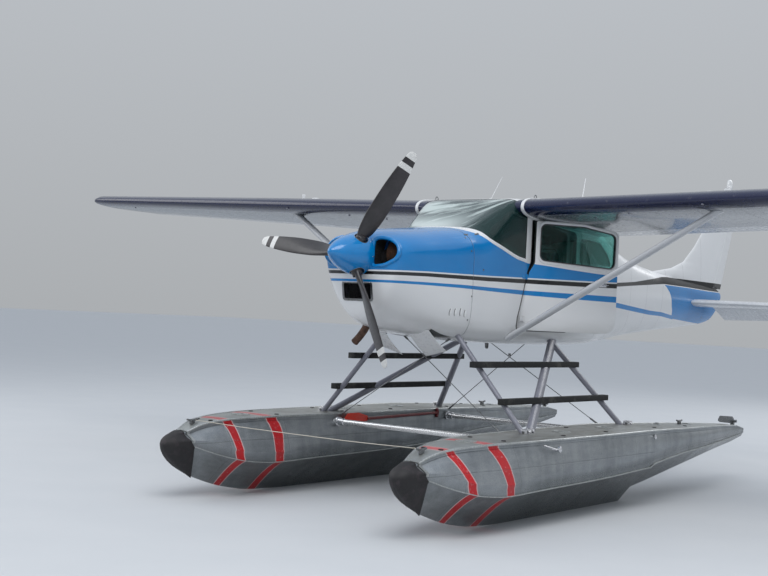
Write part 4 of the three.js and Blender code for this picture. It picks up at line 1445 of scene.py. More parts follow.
    def stick(self, piece: Piece, y: float, z: float, side: Side,
              along: Point = (0, 1, 0)) -> Piece:
        """Lay a piece made at the origin on the skin of one side."""
        spot = self.on_side([(y, z)], side)[0]
        return Bench.lay(piece, spot, self.normal(spot), along)

    def on_side(self, outline: Sequence[Pair], side: Side = Side.PORT) -> np.ndarray:
        """An outline in (y, z) laid on the skin of one side."""
        return np.array([(side.value * self.side(y, z), y, z) for y, z in outline])


BODY = Body()


@dataclass
class Cabin:
    """Cabin skin with its openings, glass and trim."""

    reach: float = .75      # half width of a tool that cuts both sides
    fit: float = -.001      # how much a pane's outline grows past its opening
    lined: float = .87      # level of the body form inside which a face is lining
    end: float = 2.75
    wall: float = 0.04
    floor: float = 0.08
    door: tuple = ((.864, .450, .02), (1.72, .398, .06), (1.72, -.575, .11), (.70, -.575, .09),
                   (.69, -.456, .03), (.812, -.03, .06), (.864, .06, .04))
    door_window: tuple = ((.918, .418, .05), (1.35, .414, .3), (1.680, .360, .055),
                          (1.676, .043, .055), (.918, .085, .055))
    quarter: tuple = ((1.80, .350, .05), (2.24, .335, .12), (2.47, .225, .09),
                      (2.60, .118, .025), (1.80, .100, .05))
    rear: tuple = ((2.29, .56), (2.70, .424), (2.74, .90), (2.29, .90))
    windshield: tuple = ((.02, .322), (.100, .322), (.125, .3205), (.147, .316), (.170, .307),
                         (.192, .294), (.215, .268), (.241, .2365), (.29, .212), (.35, .191),
                         (.417, .171), (.52, .137), (.60, .112), (.66, .097), (.72, .088),
                         (.775, .085), (.775, .520), (.72, .568), (.69, .596), (.665, .632),
                         (.65, .68), (.64, .80), (.02, .80))
    base: tuple = ((.100, .322), (.125, .3205), (.147, .316), (.170, .307), (.192, .294),
                   (.215, .268), (.241, .2365), (.29, .212), (.35, .191), (.417, .171),
                   (.52, .137), (.60, .112), (.66, .097), (.72, .088), (.80, .080))
    rubber: tuple = ((-.0055, -.003), (.0055, -.003), (.005, .003), (.002, .0045),
                     (-.002, .0045), (-.005, .003))
    moulding: tuple = ((-.013, -.003), (.013, -.003), (.011, .003), (.005, .0062),
                       (-.005, .0062), (-.011, .003))
    door_rubber: tuple = ((-.006, -.010), (.006, -.010), (.006, .0004), (.004, .0014),
                          (-.004, .0014), (-.006, .0004))
    trim: tuple = ((-.003, -.002), (-.003, .0035), (.003, .0045), (.020, .0035), (.026, .001),
                   (.026, -.002))
    outer: Piece = field(init=False, repr=False)    # the body form
    inner: Piece = field(init=False, repr=False)    # the form of the room inside
    layer: Piece = field(init=False, repr=False)    # the layer that all panes are cut from

    def build(self) -> None:
        """Make the shell, the panes, the doors and their trim."""
        self.shell()
        self.panes()
        self.doors()
        self.windshield_trim()

    def through(self, name: str, outline: Sequence[Pair], both: bool = True) -> Piece:
        """Tool that cuts an outline in (y, z) through one side or both."""
        return Bench.prism(name, outline, Along.X, -self.reach if both else .20, self.reach)

    def shell(self) -> None:
        """Hollow skin with doors, windows and windshield cut out of it."""
        outer = BODY.solid("cabin_skin", -.0003, self.end)
        self.outer = Bench.copy(outer, "outer form")
        self.inner = BODY.solid("inner form", .012, self.end - .012, self.wall, self.floor)
        shell = Bench.shape(outer, self.inner, keep=True)
        for rows in (rounded(self.door), rounded(self.quarter), self.windshield):
            shell = Bench.shape(shell, self.through("opening", rows))
        shell = Bench.shape(shell, Bench.prism("opening", self.rear, Along.X, -.33, .33))
        dress(shell, LIVERY_CABIN, stands_for=("cabin_shell",))
        self.lining(shell)

    def lining(self, piece: Piece, turn: Optional[Matrix] = None) -> None:
        """Give the inner faces of a skin the lining and its floor the carpet."""
        for finish in (PAINT_INSIDE, CARPET):
            piece.data.materials.append(finish.material())
        back = (turn.inverted() if turn is not None else Matrix.Identity(4))
        back = back @ Matrix.Translation(-DATUM)
        for face in piece.data.polygons:
            p = back @ face.center
            if BODY.level(*p) < self.lined and .02 < p.y < self.end - .02:
                face.material_index = 2 if face.normal.z > .8 and p.z < -.5 else 1

    def pane(self, name: str, outline: Sequence[Pair], low: float, high: float) -> Piece:
        """The part of the glass layer within an outline in (y, z)."""
        return Bench.shape(Bench.copy(self.layer, name),
                           Bench.prism("tool", outline, Along.X, low, high), "INTERSECT")

    def panes(self) -> None:
        """Windshield, rear and side windows as thin shells just inside the skin."""
        outer = BODY.solid("pane outside", .015, self.end - .001, .003)
        self.layer = Bench.shape(outer, BODY.solid("pane inside", .014, self.end, .008))
        for node, outline, half, finish in (
                ("windshield", grown(self.windshield, self.fit), self.reach, SCREEN),
                ("rear_window", self.rear, .3295, GLASS)):
            dress(self.pane(f"{node}_pane", outline, -half, half), finish,
                  stands_for=(node,))
        twins("quarter_pane", self.pane("quarter_pane", grown(rounded(self.quarter), self.fit),
                                        .2, self.reach), GLASS, "quarter_window", 32)
        for side in Side:
            self.seal(f"quarter_seal_{side.word}", rounded(self.quarter), side, "airframe")

    def seal(self, name: str, outline: Sequence[Pair], side: Side, body: str,
             swing: Optional[Matrix] = None) -> None:
        """Rubber seal round a window and the white frame round the seal, on the skin."""
        for part, by, finish, slot, section in (
                (name, .0, GASKET, "bumper_rubber", self.rubber),
                (name.replace("seal", "frame"), .020, PAINT_WHITE, "paint_white",
                 self.moulding)):
            path = BODY.on_side(dense(grown(outline, by), .03), side)
            piece = Bench.move(Bench.sweep(part, path, section, True, BODY.normals(path)), swing)
            dress(piece, finish, body, angle=50)

    @staticmethod
    def swing(side: Side) -> Optional[Matrix]:
        """How the port door stands open."""
        return about((*DOOR_HINGE, 0), -DOOR_OPEN, "Z") if side is Side.PORT else None

    def doors(self) -> None:
        """Both doors with frame, pane, seal, lining and handles."""
        skin = Bench.shape(self.outer, self.inner)
        door = Bench.shape(skin, Bench.prism("tool", grown(rounded(self.door), -.006), Along.X,
                                             .25, .7), "INTERSECT")
        door = Bench.shape(door, self.through("tool", rounded(self.door_window), False))
        pane = Bench.shape(self.layer, Bench.prism(
            "tool", grown(rounded(self.door_window), self.fit), Along.X, .25, .7), "INTERSECT")
        for side, finish in ((Side.STARBOARD, LIVERY), (Side.PORT, LIVERY_DOOR)):
            word, body, turn = side.word, f"{side.word}_door", self.swing(side)
            path = BODY.on_side(dense(grown(rounded(self.door), -.002), .03), side)
            dress(Bench.sweep(f"door_frame_seal_{word}", path, self.door_rubber, True,
                              BODY.normals(path)), RUBBER)
            shell = door if side is Side.PORT else Bench.mirror(door, f"door_skin_{word}")
            glass = pane if side is Side.PORT else Bench.mirror(pane, f"door_pane_{word}")
            shell.name, glass.name = f"door_skin_{word}", f"door_pane_{word}"
            Bench.move(shell, turn)
            Bench.move(glass, turn)
            dress(shell, finish, body, (f"door_{word}",), bevel=.0015)
            self.lining(shell, turn)
            dress(glass, GLASS, body, (f"door_window_{word}",))
            self.seal(f"door_seal_{word}", rounded(self.door_window), side, body, turn)
            self.handles(side, body, turn)

    def handles(self, side: Side, body: str, turn: Optional[Matrix]) -> None:
        """Outer lever handle, inner handle, arm rest and the leaves of two hinges."""
        s, word = side.value, side.word
        plate = Bench.block("plate", (-.055, -.016, -.001), (.055, .016, .004), .0035, 3)
        lever = Bench.sweep("lever", arc(((-.04, 0, .003), (-.035, 0, .020), (.0, .001, .024),
                                          (.062, .002, .022)), 14), oval(.018, .009, 10))
        outer = BODY.stick(Bench.join(f"door_handle_{word}", [plate, lever]), 1.55, -.115, side)
        inner = Bench.join(f"door_inner_handle_{word}", [
            Bench.lathe("boss", ((-.012, .022), (.012, .020), (.018, .012)),
                        (s * .494, 1.27, -.12), (-s, 0, 0), 20),
            Bench.rod("lever", ((s * .474, 1.27, -.12), (s * .466, 1.26, -.12),
                                (s * .464, 1.17, -.115)), .007, 10)])
        rest = Bench.shift(Bench.block(f"door_arm_rest_{word}", (-.02, 1.02, -.23),
                                       (.02, 1.36, -.185), .014, 3), s * .484, 0, 0)
        for place, z, finish in (("low", -.467, PAINT_WHITE), ("high", -.077, PAINT_BLUE)):
            leaf = Bench.block("leaf", (-.040, -.020, -.001), (.028, .020, .0035), .003, 2)
            barrel = Bench.rod("barrel", ((.026, -.024, .004), (.026, .024, .004)), .0075, 14)
            hinge = Bench.join(f"door_hinge_leaf_{word}_{place}", [leaf, barrel])
            dress(BODY.stick(hinge, .775, z, side), finish, angle=40)
        for piece, finish, slot in ((outer, CHROME, "bright_metal"),
                                    (inner, CHROME, "bright_metal"),
                                    (rest, PLASTIC, "panel_plastic")):
            dress(Bench.move(piece, turn), finish, body, angle=45)

    def windshield_trim(self) -> None:
        """White strip that holds the foot of the windshield on both sides."""
        zs = np.asarray(self.base)
        foot: list[Point] = []
        for x in np.linspace(0, .47, 24):
            ys = np.linspace(.09, .26, 400)
            gap = [BODY.roof(x, y) - float(np.interp(y, zs[:, 0], zs[:, 1])) for y in ys]
            k = next((i for i, g in enumerate(gap) if g >= 0), None)
            if k is not None:
                foot.append((float(x), float(ys[k]), BODY.roof(x, float(ys[k]))))
        for y in np.arange(foot[-1][1] + .02, .80, .02):
            z = float(np.interp(y, zs[:, 0], zs[:, 1]))
            foot.append((BODY.side(y, z), float(y), z))
        port = np.array(foot)
        path = even(np.concatenate([(port * [-1, 1, 1])[::-1][:-1], port]), 180)
        dress(Bench.sweep("windshield_trim", path, self.trim, False, BODY.normals(path)),
              PAINT_WHITE, angle=50)


@dataclass
class Cowling:
    """Engine cowling with inlets, spinner ring, air box, louvres and latches."""

    # x and z round the port inlet
    inlet: tuple = ((.156, .116), (.170, .130), (.206, .136), (.268, .127), (.332, .097),
                    (.365, .060), (.376, .022), (.364, -.010), (.315, -.050), (.250, -.077),
                    (.180, -.084), (.158, -.074), (.152, -.05))
    outlet: tuple = ((.125, -.380), (.345, -.380), (.345, -.040), (.125, -.040))
    air_box: tuple = ((-.150, -.232, .02), (.150, -.232, .02), (.150, -.378, .02),
                      (-.150, -.378, .02))
    rear: float = -.005
    # station, height and half length of each louvre
    vents: tuple = ((-.268, -.44, .034), (-.2085, -.4376, .036), (-.1395, -.435, .038),
                    (-.082, -.445, .036))
    studs: tuple = ((.148, -.053), (-.009, -.293), (-.033, -.50), (-.05, .215), (-.035, .10))
    latches: tuple = ((.400, .001), (.416, .145))

    def build(self) -> None:
        """Make the skin, then what shows in and on it."""
        self.skin()
        self.inlets()
        self.intake()
        self.engine()
        self.details()

    def louvres(self, side: Side) -> None:
        """Pressed louvres of one side, each with a dark block as painted shade in its slot and a
        dark rod as painted shade along its front edge.
        """
        raised, dark = [], []
        for y, z, tall in self.vents:
            rows = []
            for h in np.linspace(-.98, .98, 13):
                w = .5 * math.sqrt(1 - h * h)
                rows.append([(-.014 * w - .006 * (1 - h * h), tall * h, 0),
                             (-.006 * w, tall * h, .007 * w), (.004 * w, tall * h, .014 * w),
                             (.012 * w, tall * h, .016 * w), (.014 * w, tall * h, .013 * w),
                             (.010 * w, tall * h, -.002)])
            raised.append(BODY.stick(Bench.skin("vent", rows), y, z, side))
            # painted shade: a dark block stands in for the shade inside the slot
            slot = Bench.block("slot", (.0035, -tall * .7, .0002), (.0085, tall * .7, .0035),
                               .001)
            dark.append(BODY.stick(slot, y, z, side))
            # painted shade: a thin dark rod along the front edge
            edge = [(-.0075 * math.sqrt(1 - h * h) - .006 * (1 - h * h) - .001, tall * h, .001)
                    for h in np.linspace(-.85, .85, 13)]
            dark.append(BODY.stick(Bench.rod("edge", edge, .0024, 8), y, z, side))
        dress(Bench.join(f"cowl_louvres_{side.word}", raised), PAINT_WHITE,
              angle=60)
        dress(Bench.join(f"louvre_slots_{side.word}", dark), RUBBER)

    def details(self) -> None:
        """Louvres, quarter-turn fasteners, latch plates and the seams of the cowling."""
        for side in Side:
            self.louvres(side)
            studs = [BODY.stick(Bench.lathe("stud", (
                (-.001, .009), (.0012, .009), (.0022, .0078), (.0023, .003), (.0012, .0028),
                (.0012, .0002)), (0, 0, 0), (0, 0, 1), 20), y, z, side) for y, z in self.studs]
            dress(Bench.join(f"cowl_fasteners_{side.word}", studs), STEEL,
                  angle=40)
            plates = []
            for x, y in self.latches:
                spot = (side.value * x, y, BODY.roof(x, y))
                plate = Bench.block("plate", (-.026, -.010, -.001), (.026, .010, .0035), .003, 2)
                pin = Bench.rod("pin", ((-.02, 0, .004), (.02, 0, .004)), .003, 10)
                plates.append(Bench.lay(Bench.join("latch", [plate, pin]), spot,
                                        BODY.normal(spot)))
            dress(Bench.join(f"cowl_latches_{side.word}", plates), STEEL,
                  angle=40)
        ring = BODY.ring(.001)
        dress(Bench.sweep("cowl_rear_joint", ring, (
            (-.0013, -.003), (.0013, -.003), (.0010, .0007), (-.0010, .0007)), True,
            BODY.normals(ring)), PAINT_GREY)

    def front(self, x: float, z: float) -> float:
        """Station where the nose is met from in front at a place."""
        lo, hi = -.9999, -.3
        for _ in range(40):
            mid = (lo + hi) / 2
            lo, hi = (lo, mid) if BODY.level(x, mid, z) < 1 else (mid, hi)
        return hi

    def opening(self) -> list[Pair]:
        """Smooth outline of the port inlet."""
        return [tuple(float(c) for c in p) for p in arc(self.inlet, 56)]

    def skin(self) -> None:
        """Thin shell, domed in front, with its holes."""
        rings = [BODY.ring(y) for y in BODY.stations(-1.0, self.rear, .035)]
        face = rings[0]
        hub = np.array([0, 0, -.06])
        domed = [hub * [1, 0, 1] + (face - hub) * [s, 0, s] + [0, -1.0 - d, 0]
                 for s, d in ((.45, .012), (.75, .010), (.93, .005))]
        outer = Bench.skin("cowling_skin", domed + rings)
        inner = BODY.solid("inside", -.986, .01, .012)
        outer = Bench.shape(outer, inner)
        for rows, along, low, high in (
                (self.opening(), Along.Y, -1.1, -.86), (self.outlet, Along.Z, -.9, -.3)):
            tool = Bench.prism("hole", rows, along, low, high)
            other = Bench.mirror(tool, "hole 2")
            Bench.shape(outer, tool)
            Bench.shape(outer, other)
        Bench.shape(outer, Bench.prism("hole", rounded(self.air_box), Along.Y, -1.1, -.8))
        Bench.shape(outer, Bench.lathe("hole", ((-.1, .075), (.1, .075)), (0, -1.0, 0), (0, 1, 0)))
        dress(outer, LIVERY, stands_for=("cowling",))

    def inlets(self) -> None:
        """Rolled lips of the two cooling inlets and the dark ducts behind them."""
        for side in Side:
            s = side.value
            outline = dense(grown(self.opening(), .011), .012)
            path = np.array([(s * x, self.front(min(x, .37), z * .92) + .008, z)
                             for x, z in outline])
            y = path[:, 1]
            for _ in range(8):
                y = (np.roll(y, 1) + y + np.roll(y, -1)) / 3
            path[:, 1] = y
            lip = Bench.sweep(f"inlet_lip_{side.word}", path, oval(.036, .044, 16), True,
                              (0, 1, 0))
            dress(lip, LIVERY, angle=70)
            hub = path.mean(0)
            rows = [hub + (path - hub) * [k, 1, k] + [0, d, 0]
                    for k, d in ((.95, .004), (.96, .06), (1.0, .16))]
            duct = Bench.skin(f"inlet_duct_{side.word}", rows, True, False)
            Bench.refine(duct, "SOLIDIFY", thickness=.002, offset=1)
            dress(duct, CAST)
            fins = [Bench.lathe("baffle", ((0, .002), (.002, .110), (.004, .112), (.006, .106),
                                           (.012, .002)), (s * (.225 + .015 * k), -.80, .018),
                                (s, 0, 0), 40) for k in range(9)]
            shield = Bench.block("shield", (-.006, -.875, -.085), (.006, -.80, .11), .004, 2)
            Bench.shift(shield, s * .348, 0, 0)
            dress(Bench.join(f"cylinder_baffle_{side.word}", fins + [shield]), BAFFLE,
                  angle=40)

    def intake(self) -> None:
        """Frame and pleated filter of the air box under the spinner."""
        outline = dense(rounded(self.air_box), .02)
        path = np.array([(x, self.front(x, z) + .002, z) for x, z in outline])
        dress(Bench.sweep("air_box_frame", path, (
            (-.010, -.006), (.010, -.006), (.010, .004), (-.010, .004)), True, (0, -1, 0)),
              STEEL, angle=50)
        w, folds, low, high = .148, 48, -.376, -.234
        rows = []
        for k in range(folds + 1):
            x, y = -w + 2 * w * k / folds, -.905 + (.012 if k % 2 else 0)
            rows.append([(x, y, high), (x, y, low), (x, y + .03, low), (x, y + .03, high)])
        dress(Bench.skin("air_filter", rows), CAST, angle=10)

    def engine(self) -> None:
        """Crankcase, shaft and finned cylinders that show through the inlets."""
        parts = [Bench.block("crankcase", (-.19, -.86, -.20), (.19, -.08, .05), .03, 3),
                 Bench.block("sump", (-.14, -.80, -.42), (.14, -.12, -.18), .03, 3),
                 Bench.lathe("shaft", ((-.17, .04), (-.04, .04), (-.03, .085), (.06, .09),
                                       (.08, .12)), (0, -.88, 0), (0, 1, 0), 32)]
        barrel = []
        for k in range(14):
            a = .012 * k
            barrel += [(a, .052), (a + .003, .078), (a + .006, .078), (a + .007, .052)]
        for s in (1, -1):
            for y in (-.80, -.55, -.30):
                parts.append(Bench.lathe("cylinder", barrel, (s * .16, y - .02 * s, -.02),
                                         (s, 0, 0), 20))
        block = Bench.join("engine_and_shaft", parts)
        dress(block, CAST, stands_for=("engine_block",), angle=40)
        path = arc(((-.035, -.76, -.46), (-.043, -.757, -.53), (-.072, -.753, -.605),
                    (-.125, -.750, -.675), (-.190, -.746, -.738)), 30)
        pipe = Bench.sweep("exhaust_stack", path, oval(.064, .064, 28), False,
                           None, [1] * 28 + [1.02, 1.05])
        bore = Bench.sweep("bore", path[6:] + (path[-1] - path[-2]) * .6, oval(.057, .057, 28))
        Bench.shape(pipe, bore)
        dress(pipe, RUST, stands_for=("exhaust_pipe",))
        for side in Side:
            s = side.value
            rows = []
            for f in np.linspace(0, 1, 9):
                y = -.412 + f * .287
                z = -.630 - f * .204 - .012 * math.sin(math.pi * f)
                z2 = -.600 - f * .177 - .012 * math.sin(math.pi * f)
                top = [(s * x, y, z + (z2 - z) * k) for k, x in
                       ((0, .130), (.33, .20), (.66, .27), (1, .340))]
                rows.append(top + [(a, b, c - .006) for a, b, c in reversed(top)])
            flap = Bench.skin(f"cowl_flap_skin_{side.word}", rows)
            dress(flap, PAINT_WHITE,
                  stands_for=(f"cowl_flap_{side.word}",), bevel=.002)


@dataclass
class Wing:
    """Wing with flap, aileron, lift strut and tip."""

    section: tuple = ((0, 0, 0), (.004, .0150, -.0125), (.0125, .0262, -.0210),
                      (.05, .0470, -.0345), (.12, .0640, -.0420), (.25, .0767, -.0435),
                      (.40, .0780, -.0380), (.60, .0636, -.0276), (.77, .0412, -.0170),
                      (.90, .0200, -.0085), (1, .0026, -.0020))
    # x, leading edge y and z, chord, incidence, thickness
    rows: tuple = ((.50, .615, .552, 1.632, 5.2, 1), (2.6, .663, .613, 1.585, 4.6, 1),
                   (5.38, .726, .695, 1.130, 3.4, 1), (5.44, .745, .694, 1.080, 3.4, .82),
                   (5.465, .768, .692, 1.020, 3.4, .55), (5.477, .800, .690, .950, 3.4, .28))
    hinge_at: float = .77
    gap: float = .008
    flap: Pair = (.64, 2.585)
    aileron: Pair = (2.60, 5.23)
    barrel: float = .0291   # radius of the hinge barrel, as a share of the chord
    strut_foot: Point = (.470, .666, -.655)
    strut_head: Point = (2.500, .930, .625)
    strut_size: Pair = (.125, .050)
    cuff: tuple = (.97, 1, 1, 1, 1, 1, .97)

    def row(self, x: float) -> list[float]:
        """The wing's numbers at a span."""
        t = np.asarray(self.rows)
        return [x] + [float(np.interp(x, t[:, 0], t[:, k])) for k in range(1, 6)]

    def point(self, row: Sequence[float], along: float, up: float) -> Point:
        """Point of a section from its fractions of the chord."""
        x, ly, lz, chord, deg, _ = row
        a = math.radians(deg)
        u, v = along * chord, up * chord
        return (x, ly + u * math.cos(a) + v * math.sin(a), lz - u * math.sin(a) + v * math.cos(a))

    def ring(self, x: float, grow: float = 0.0) -> np.ndarray:
        """One smooth section."""
        row = self.row(x)
        t = np.asarray(self.section)
        run = np.sqrt(t[:, 0])
        upper = smooth(np.column_stack([run, t[:, :2]]), np.linspace(0, 1, 26))
        lower = smooth(np.column_stack([run, t[:, [0, 2]]]), np.linspace(0, 1, 26))
        upper[:, 0] = lower[:, 0] = np.linspace(0, 1, 26) ** 2
        pts = [(f, h * row[5] + grow / row[3]) for f, h in upper]
        pts += [(f, h * row[5] - grow / row[3]) for f, h in lower[:0:-1]]
        return np.array([self.point(row, f, h) for f, h in pts])

    def form(self, name: str, grow: float = 0.0) -> Piece:
        """The whole wing as one closed piece."""
        xs = list(np.linspace(.50, 2.6, 12)) + list(np.linspace(2.8, 5.38, 15))
        xs += [5.41, 5.44, 5.455, 5.465, 5.472, 5.477]
        return Bench.skin(name, [self.ring(x, grow) for x in xs])

    def hinge(self, x: float) -> Point:
        """Point of the hinge line of flap and aileron."""
        return self.point(self.row(x), self.hinge_at, (.0412 - .0170) / 2)

    def behind(self, start: float, end: float, grow: float) -> Piece:
        """Tool that holds what is behind the hinge line between two spans."""
        a, b = self.hinge(start), self.hinge(end)
        ra, rb = (self.row(v)[3] * self.barrel + grow for v in (start, end))
        run = Vector(b) - Vector(a)
        barrel = Bench.lathe("barrel", ((0, ra), (run.length, rb)), a, tuple(run), 40)
        slab = Bench.prism("slab", ((start, a[1]), (end, b[1]), (end, 2.6), (start, 2.6)),
                           Along.Z, .2, .9)
        return Bench.shape(barrel, slab, "UNION")

    def build(self) -> None:
        """Make both wings, their flaps, ailerons and struts."""
        wing = self.form("wing_skin_port")
        surfaces = []
        for part, (start, end) in (("flap", self.flap), ("aileron", self.aileron)):
            surfaces.append((part, Bench.shape(self.form(part), self.behind(
                start, end, -.0005), "INTERSECT")))
            Bench.shape(wing, self.behind(start - self.gap, end + self.gap, self.gap))
        body = BODY.solid("body form", .2, 2.7, -.0003)
        Bench.shape(wing, body, keep=True)
        strut = self.strut(body)
        twins("wing_skin", wing, WING_SKIN, "wing", 32)
        twins("strut_skin", strut, PAINT_STRUT, "wing_strut", 32)
        for part, piece in surfaces:
            twins(f"{part}_skin", piece, SURFACE_SKIN, part, 32, part)
        self.root()

    def strut(self, body: Piece) -> Piece:
        """Streamlined lift strut, trimmed to the cabin and the wing, and its cuffs."""
        a, b = Vector(self.strut_foot), Vector(self.strut_head)
        along = (b - a).normalized()
        fore = tuple(Vector((0, 1, 0)) - along * along.y)
        chord, thick = self.strut_size
        bars = []
        for name, places, grow, scale in (
                ("strut", (0, .05, .5, .95, 1), 0, None),
                ("cuff", np.linspace(.32, .417, 7), .005, self.cuff),
                ("cuff", np.linspace(.925, .955, 7), .006, self.cuff)):
            bars.append(Bench.sweep(name, [tuple(a + (b - a) * f) for f in places], across(
                teardrop(chord + grow, thick + grow, 32)), False, fore, scale))
        taken = self.form("wing form", .0003)
        for bar in bars:
            Bench.shape(bar, body, keep=True)
            Bench.shape(bar, taken, keep=True)
        Bench.drop(body)
        Bench.drop(taken)
        twins("strut_cuffs", Bench.join("cuffs", bars[1:]), PAINT_STRUT, angle=32)
        return bars[0]

    def root(self) -> None:
        """White trim that closes the nose of the wing root against the cabin."""
        ring = self.ring(.578, .004)
        nose = np.concatenate([ring[1:14][::-1], ring[:1], ring[-13:][::-1]])
        twins("wing_root_trim", Bench.sweep("trim", nose, (
            (-.004, -.006), (.005, -.004), (.007, .002), (.007, .020), (.004, .026),
            (-.004, .026)), False, (1, 0, 0)), PAINT_WHITE, angle=50)


@dataclass
class Tail:
    """Tail cone, fin, rudder, stabilizer and elevator."""

    fin: tuple = ((.04, 4.480, .044), (.172, 4.560, .042), (.25, 5.150, .041),
                  (.346, 5.489, .039), (.559, 5.808, .035), (.724, 5.992, .032),
                  (1.34, 6.645, .021), (1.375, 6.684, .016), (1.40, 6.73, .006))
    rudder_edge: tuple = ((.04, 6.678), (.805, 7.004), (1.388, 7.260))
    hinge_low: float = 6.341
    hinge_slope: float = .5478
    tube: Pair = (6.06, -.15)
    droop: float = 25.0

    def hinge(self, z: float) -> float:
        """Station of the rudder's hinge line at a height."""
        return self.hinge_low + (z - .04) * self.hinge_slope

    def build(self) -> None:
        """Make the cone and all tail surfaces."""
        cone = BODY.solid("tail_cone_skin", 2.7503, 6.64, step=.06)
        Bench.shape(cone, BODY.solid("inside", 2.749, 5.9, .016, step=.1))
        dress(cone, LIVERY_TAIL, stands_for=("tail_cone",))
        self.make_fin()
        self.make_rudder()
        self.dome()
        self.stabilizer()
        self.elevator()

    def half_at(self, z: float) -> float:
        """Half the thickness of fin and rudder at a height."""
        table = np.asarray(self.fin)
        return float(np.interp(z, table[:, 0], table[:, 2]))

    def make_fin(self) -> None:
        """Fin, trimmed to the tail cone and to the barrel of the rudder's hinge."""
        table = np.asarray(self.fin)
        zs = sorted(set(np.linspace(.04, 1.34, 40))
                    | {.172, .25, .346, .559, 1.36, 1.375, 1.39, 1.40})
        spread = smooth(((0, 0), (.15, .30), (.30, .55), (.55, .88), (.8, 1.05), (1, 1)),
                        np.linspace(0, 1, 16))[:, 0]
        rows = []
        for z in zs:
            lead, half = float(np.interp(z, table[:, 0], table[:, 1])), self.half_at(z)
            run = self.hinge(z) - lead
            rows.append(halves([(half * t, lead + run * f * f, z)
                                for f, t in zip(np.linspace(0, 1, 16), spread)], Along.X))
        fin = Bench.skin("fin_skin", rows)
        run = Vector((0, self.hinge(1.5) - self.hinge(-.06), 1.56))
        Bench.shape(fin, BODY.solid("body form", 4.2, 6.64, -.0003))
        Bench.shape(fin, Bench.lathe("barrel", ((0, .055), (run.length, .028)),
                                     (0, self.hinge(-.06), -.06), tuple(run), 32))
        dress(fin, LIVERY_TAIL, stands_for=("fin",))

    def make_rudder(self) -> None:
        """Rudder, its foot cut free of the tail cone over its whole swing."""
        edge, rows = np.asarray(self.rudder_edge), []
        for z in np.linspace(.060, 1.388, 40):
            hinge, half = self.hinge(z), self.half_at(z)
            rear = float(np.interp(z, edge[:, 0], edge[:, 1]))
            nose = [(half * math.sin(a), hinge - half * .9 * math.cos(a), z)
                    for a in np.linspace(0, math.pi / 2, 7)]
            rows.append(halves(nose + [(half + (.003 - half) * f, hinge + (rear - hinge) * f, z)
                                       for f in (.2, .4, .6, .8, 1)], Along.X))
        rudder = Bench.skin("rudder_skin", rows)
        top = BODY.solid("tail top", 6.0, 6.64, -.009)
        axis = Vector((0, self.hinge_slope, 1)).normalized()
        for swing in range(-24, 25, 6):
            tool = Bench.copy(top, "tool")
            Bench.shape(rudder, Bench.move(tool, about((0, self.hinge_low, .04), swing, axis)))
        Bench.drop(top)
        dress(rudder, Livery("livery paint, rudder"), "rudder_body", ("rudder",))

    @staticmethod
    def dome() -> None:
        """Rounded cap on top of the fin."""
        rows = [[(.55 * r * math.cos(a), 6.86 + r * math.sin(a), 1.4003 + h)
                 for a in np.linspace(0, 2 * math.pi, 24, endpoint=False)]
                for h, r in ((0, .058), (.004, .062), (.04, .062), (.07, .060), (.095, .052),
                             (.112, .038), (.122, .020), (.126, .002))]
        dress(Bench.skin("fin_dome_skin", rows), PAINT_WHITE,
              stands_for=("fin_dome",), angle=60)

    def stabilizer(self) -> None:
        """Both halves of the stabilizer."""
        y0, z0 = self.tube
        spread = smooth(((0, 0), (.12, .28), (.25, .5), (.5, .9), (.75, 1.05), (1, .8)),
                        np.linspace(0, 1, 14))[:, 0]
        rows = []
        for x, lead, half in ((.06, 5.428, .046), (.9, 5.573, .040), (1.70, 5.711, .034),
                              (1.74, 5.735, .028), (1.765, 5.762, .018), (1.78, 5.79, .006)):
            run = y0 - .046 - lead
            rows.append(halves([(x, lead + run * f * f, z0 + half * t)
                                for f, t in zip(np.linspace(0, 1, 14), spread)], Along.Z, z0))
        port = Bench.skin("stabilizer", rows)
        Bench.shape(port, BODY.solid("body form", 5.0, 6.6, -.0003))
        twins("stabilizer_skin", port, TAIL_SKIN, "stabilizer", 32)

    def elevator(self) -> None:
        """Both halves of the drooping elevator, with the tube between them."""
        rows = []
        for x, r, chord in ((.175, .036, .448), (.9, .032, .404), (1.70, .028, .360),
                            (1.755, .02, .335), (1.775, .010, .320)):
            nose = [(x, -r * .95 * math.cos(a), r * math.sin(a))
                    for a in np.linspace(0, math.pi / 2, 7)]
            rows.append(halves(nose + [(x, chord * f, r + (.003 - r) * f)
                                       for f in (.25, .5, .75, 1)], Along.Z))
        port = Bench.skin("elevator_half", rows)
        both = Bench.join("elevator_skin", [
            port, Bench.mirror(port, "elevator_half_2"),
            Bench.rod("tube", ((-.19, 0, 0), (.19, 0, 0)), .022, 24)])
        Bench.move(both, Matrix.Translation((0, *self.tube))
                   @ Matrix.Rotation(-math.radians(self.droop), 4, "X"))
        dress(both, SURFACE_SKIN, "elevator_body", ("elevator",))


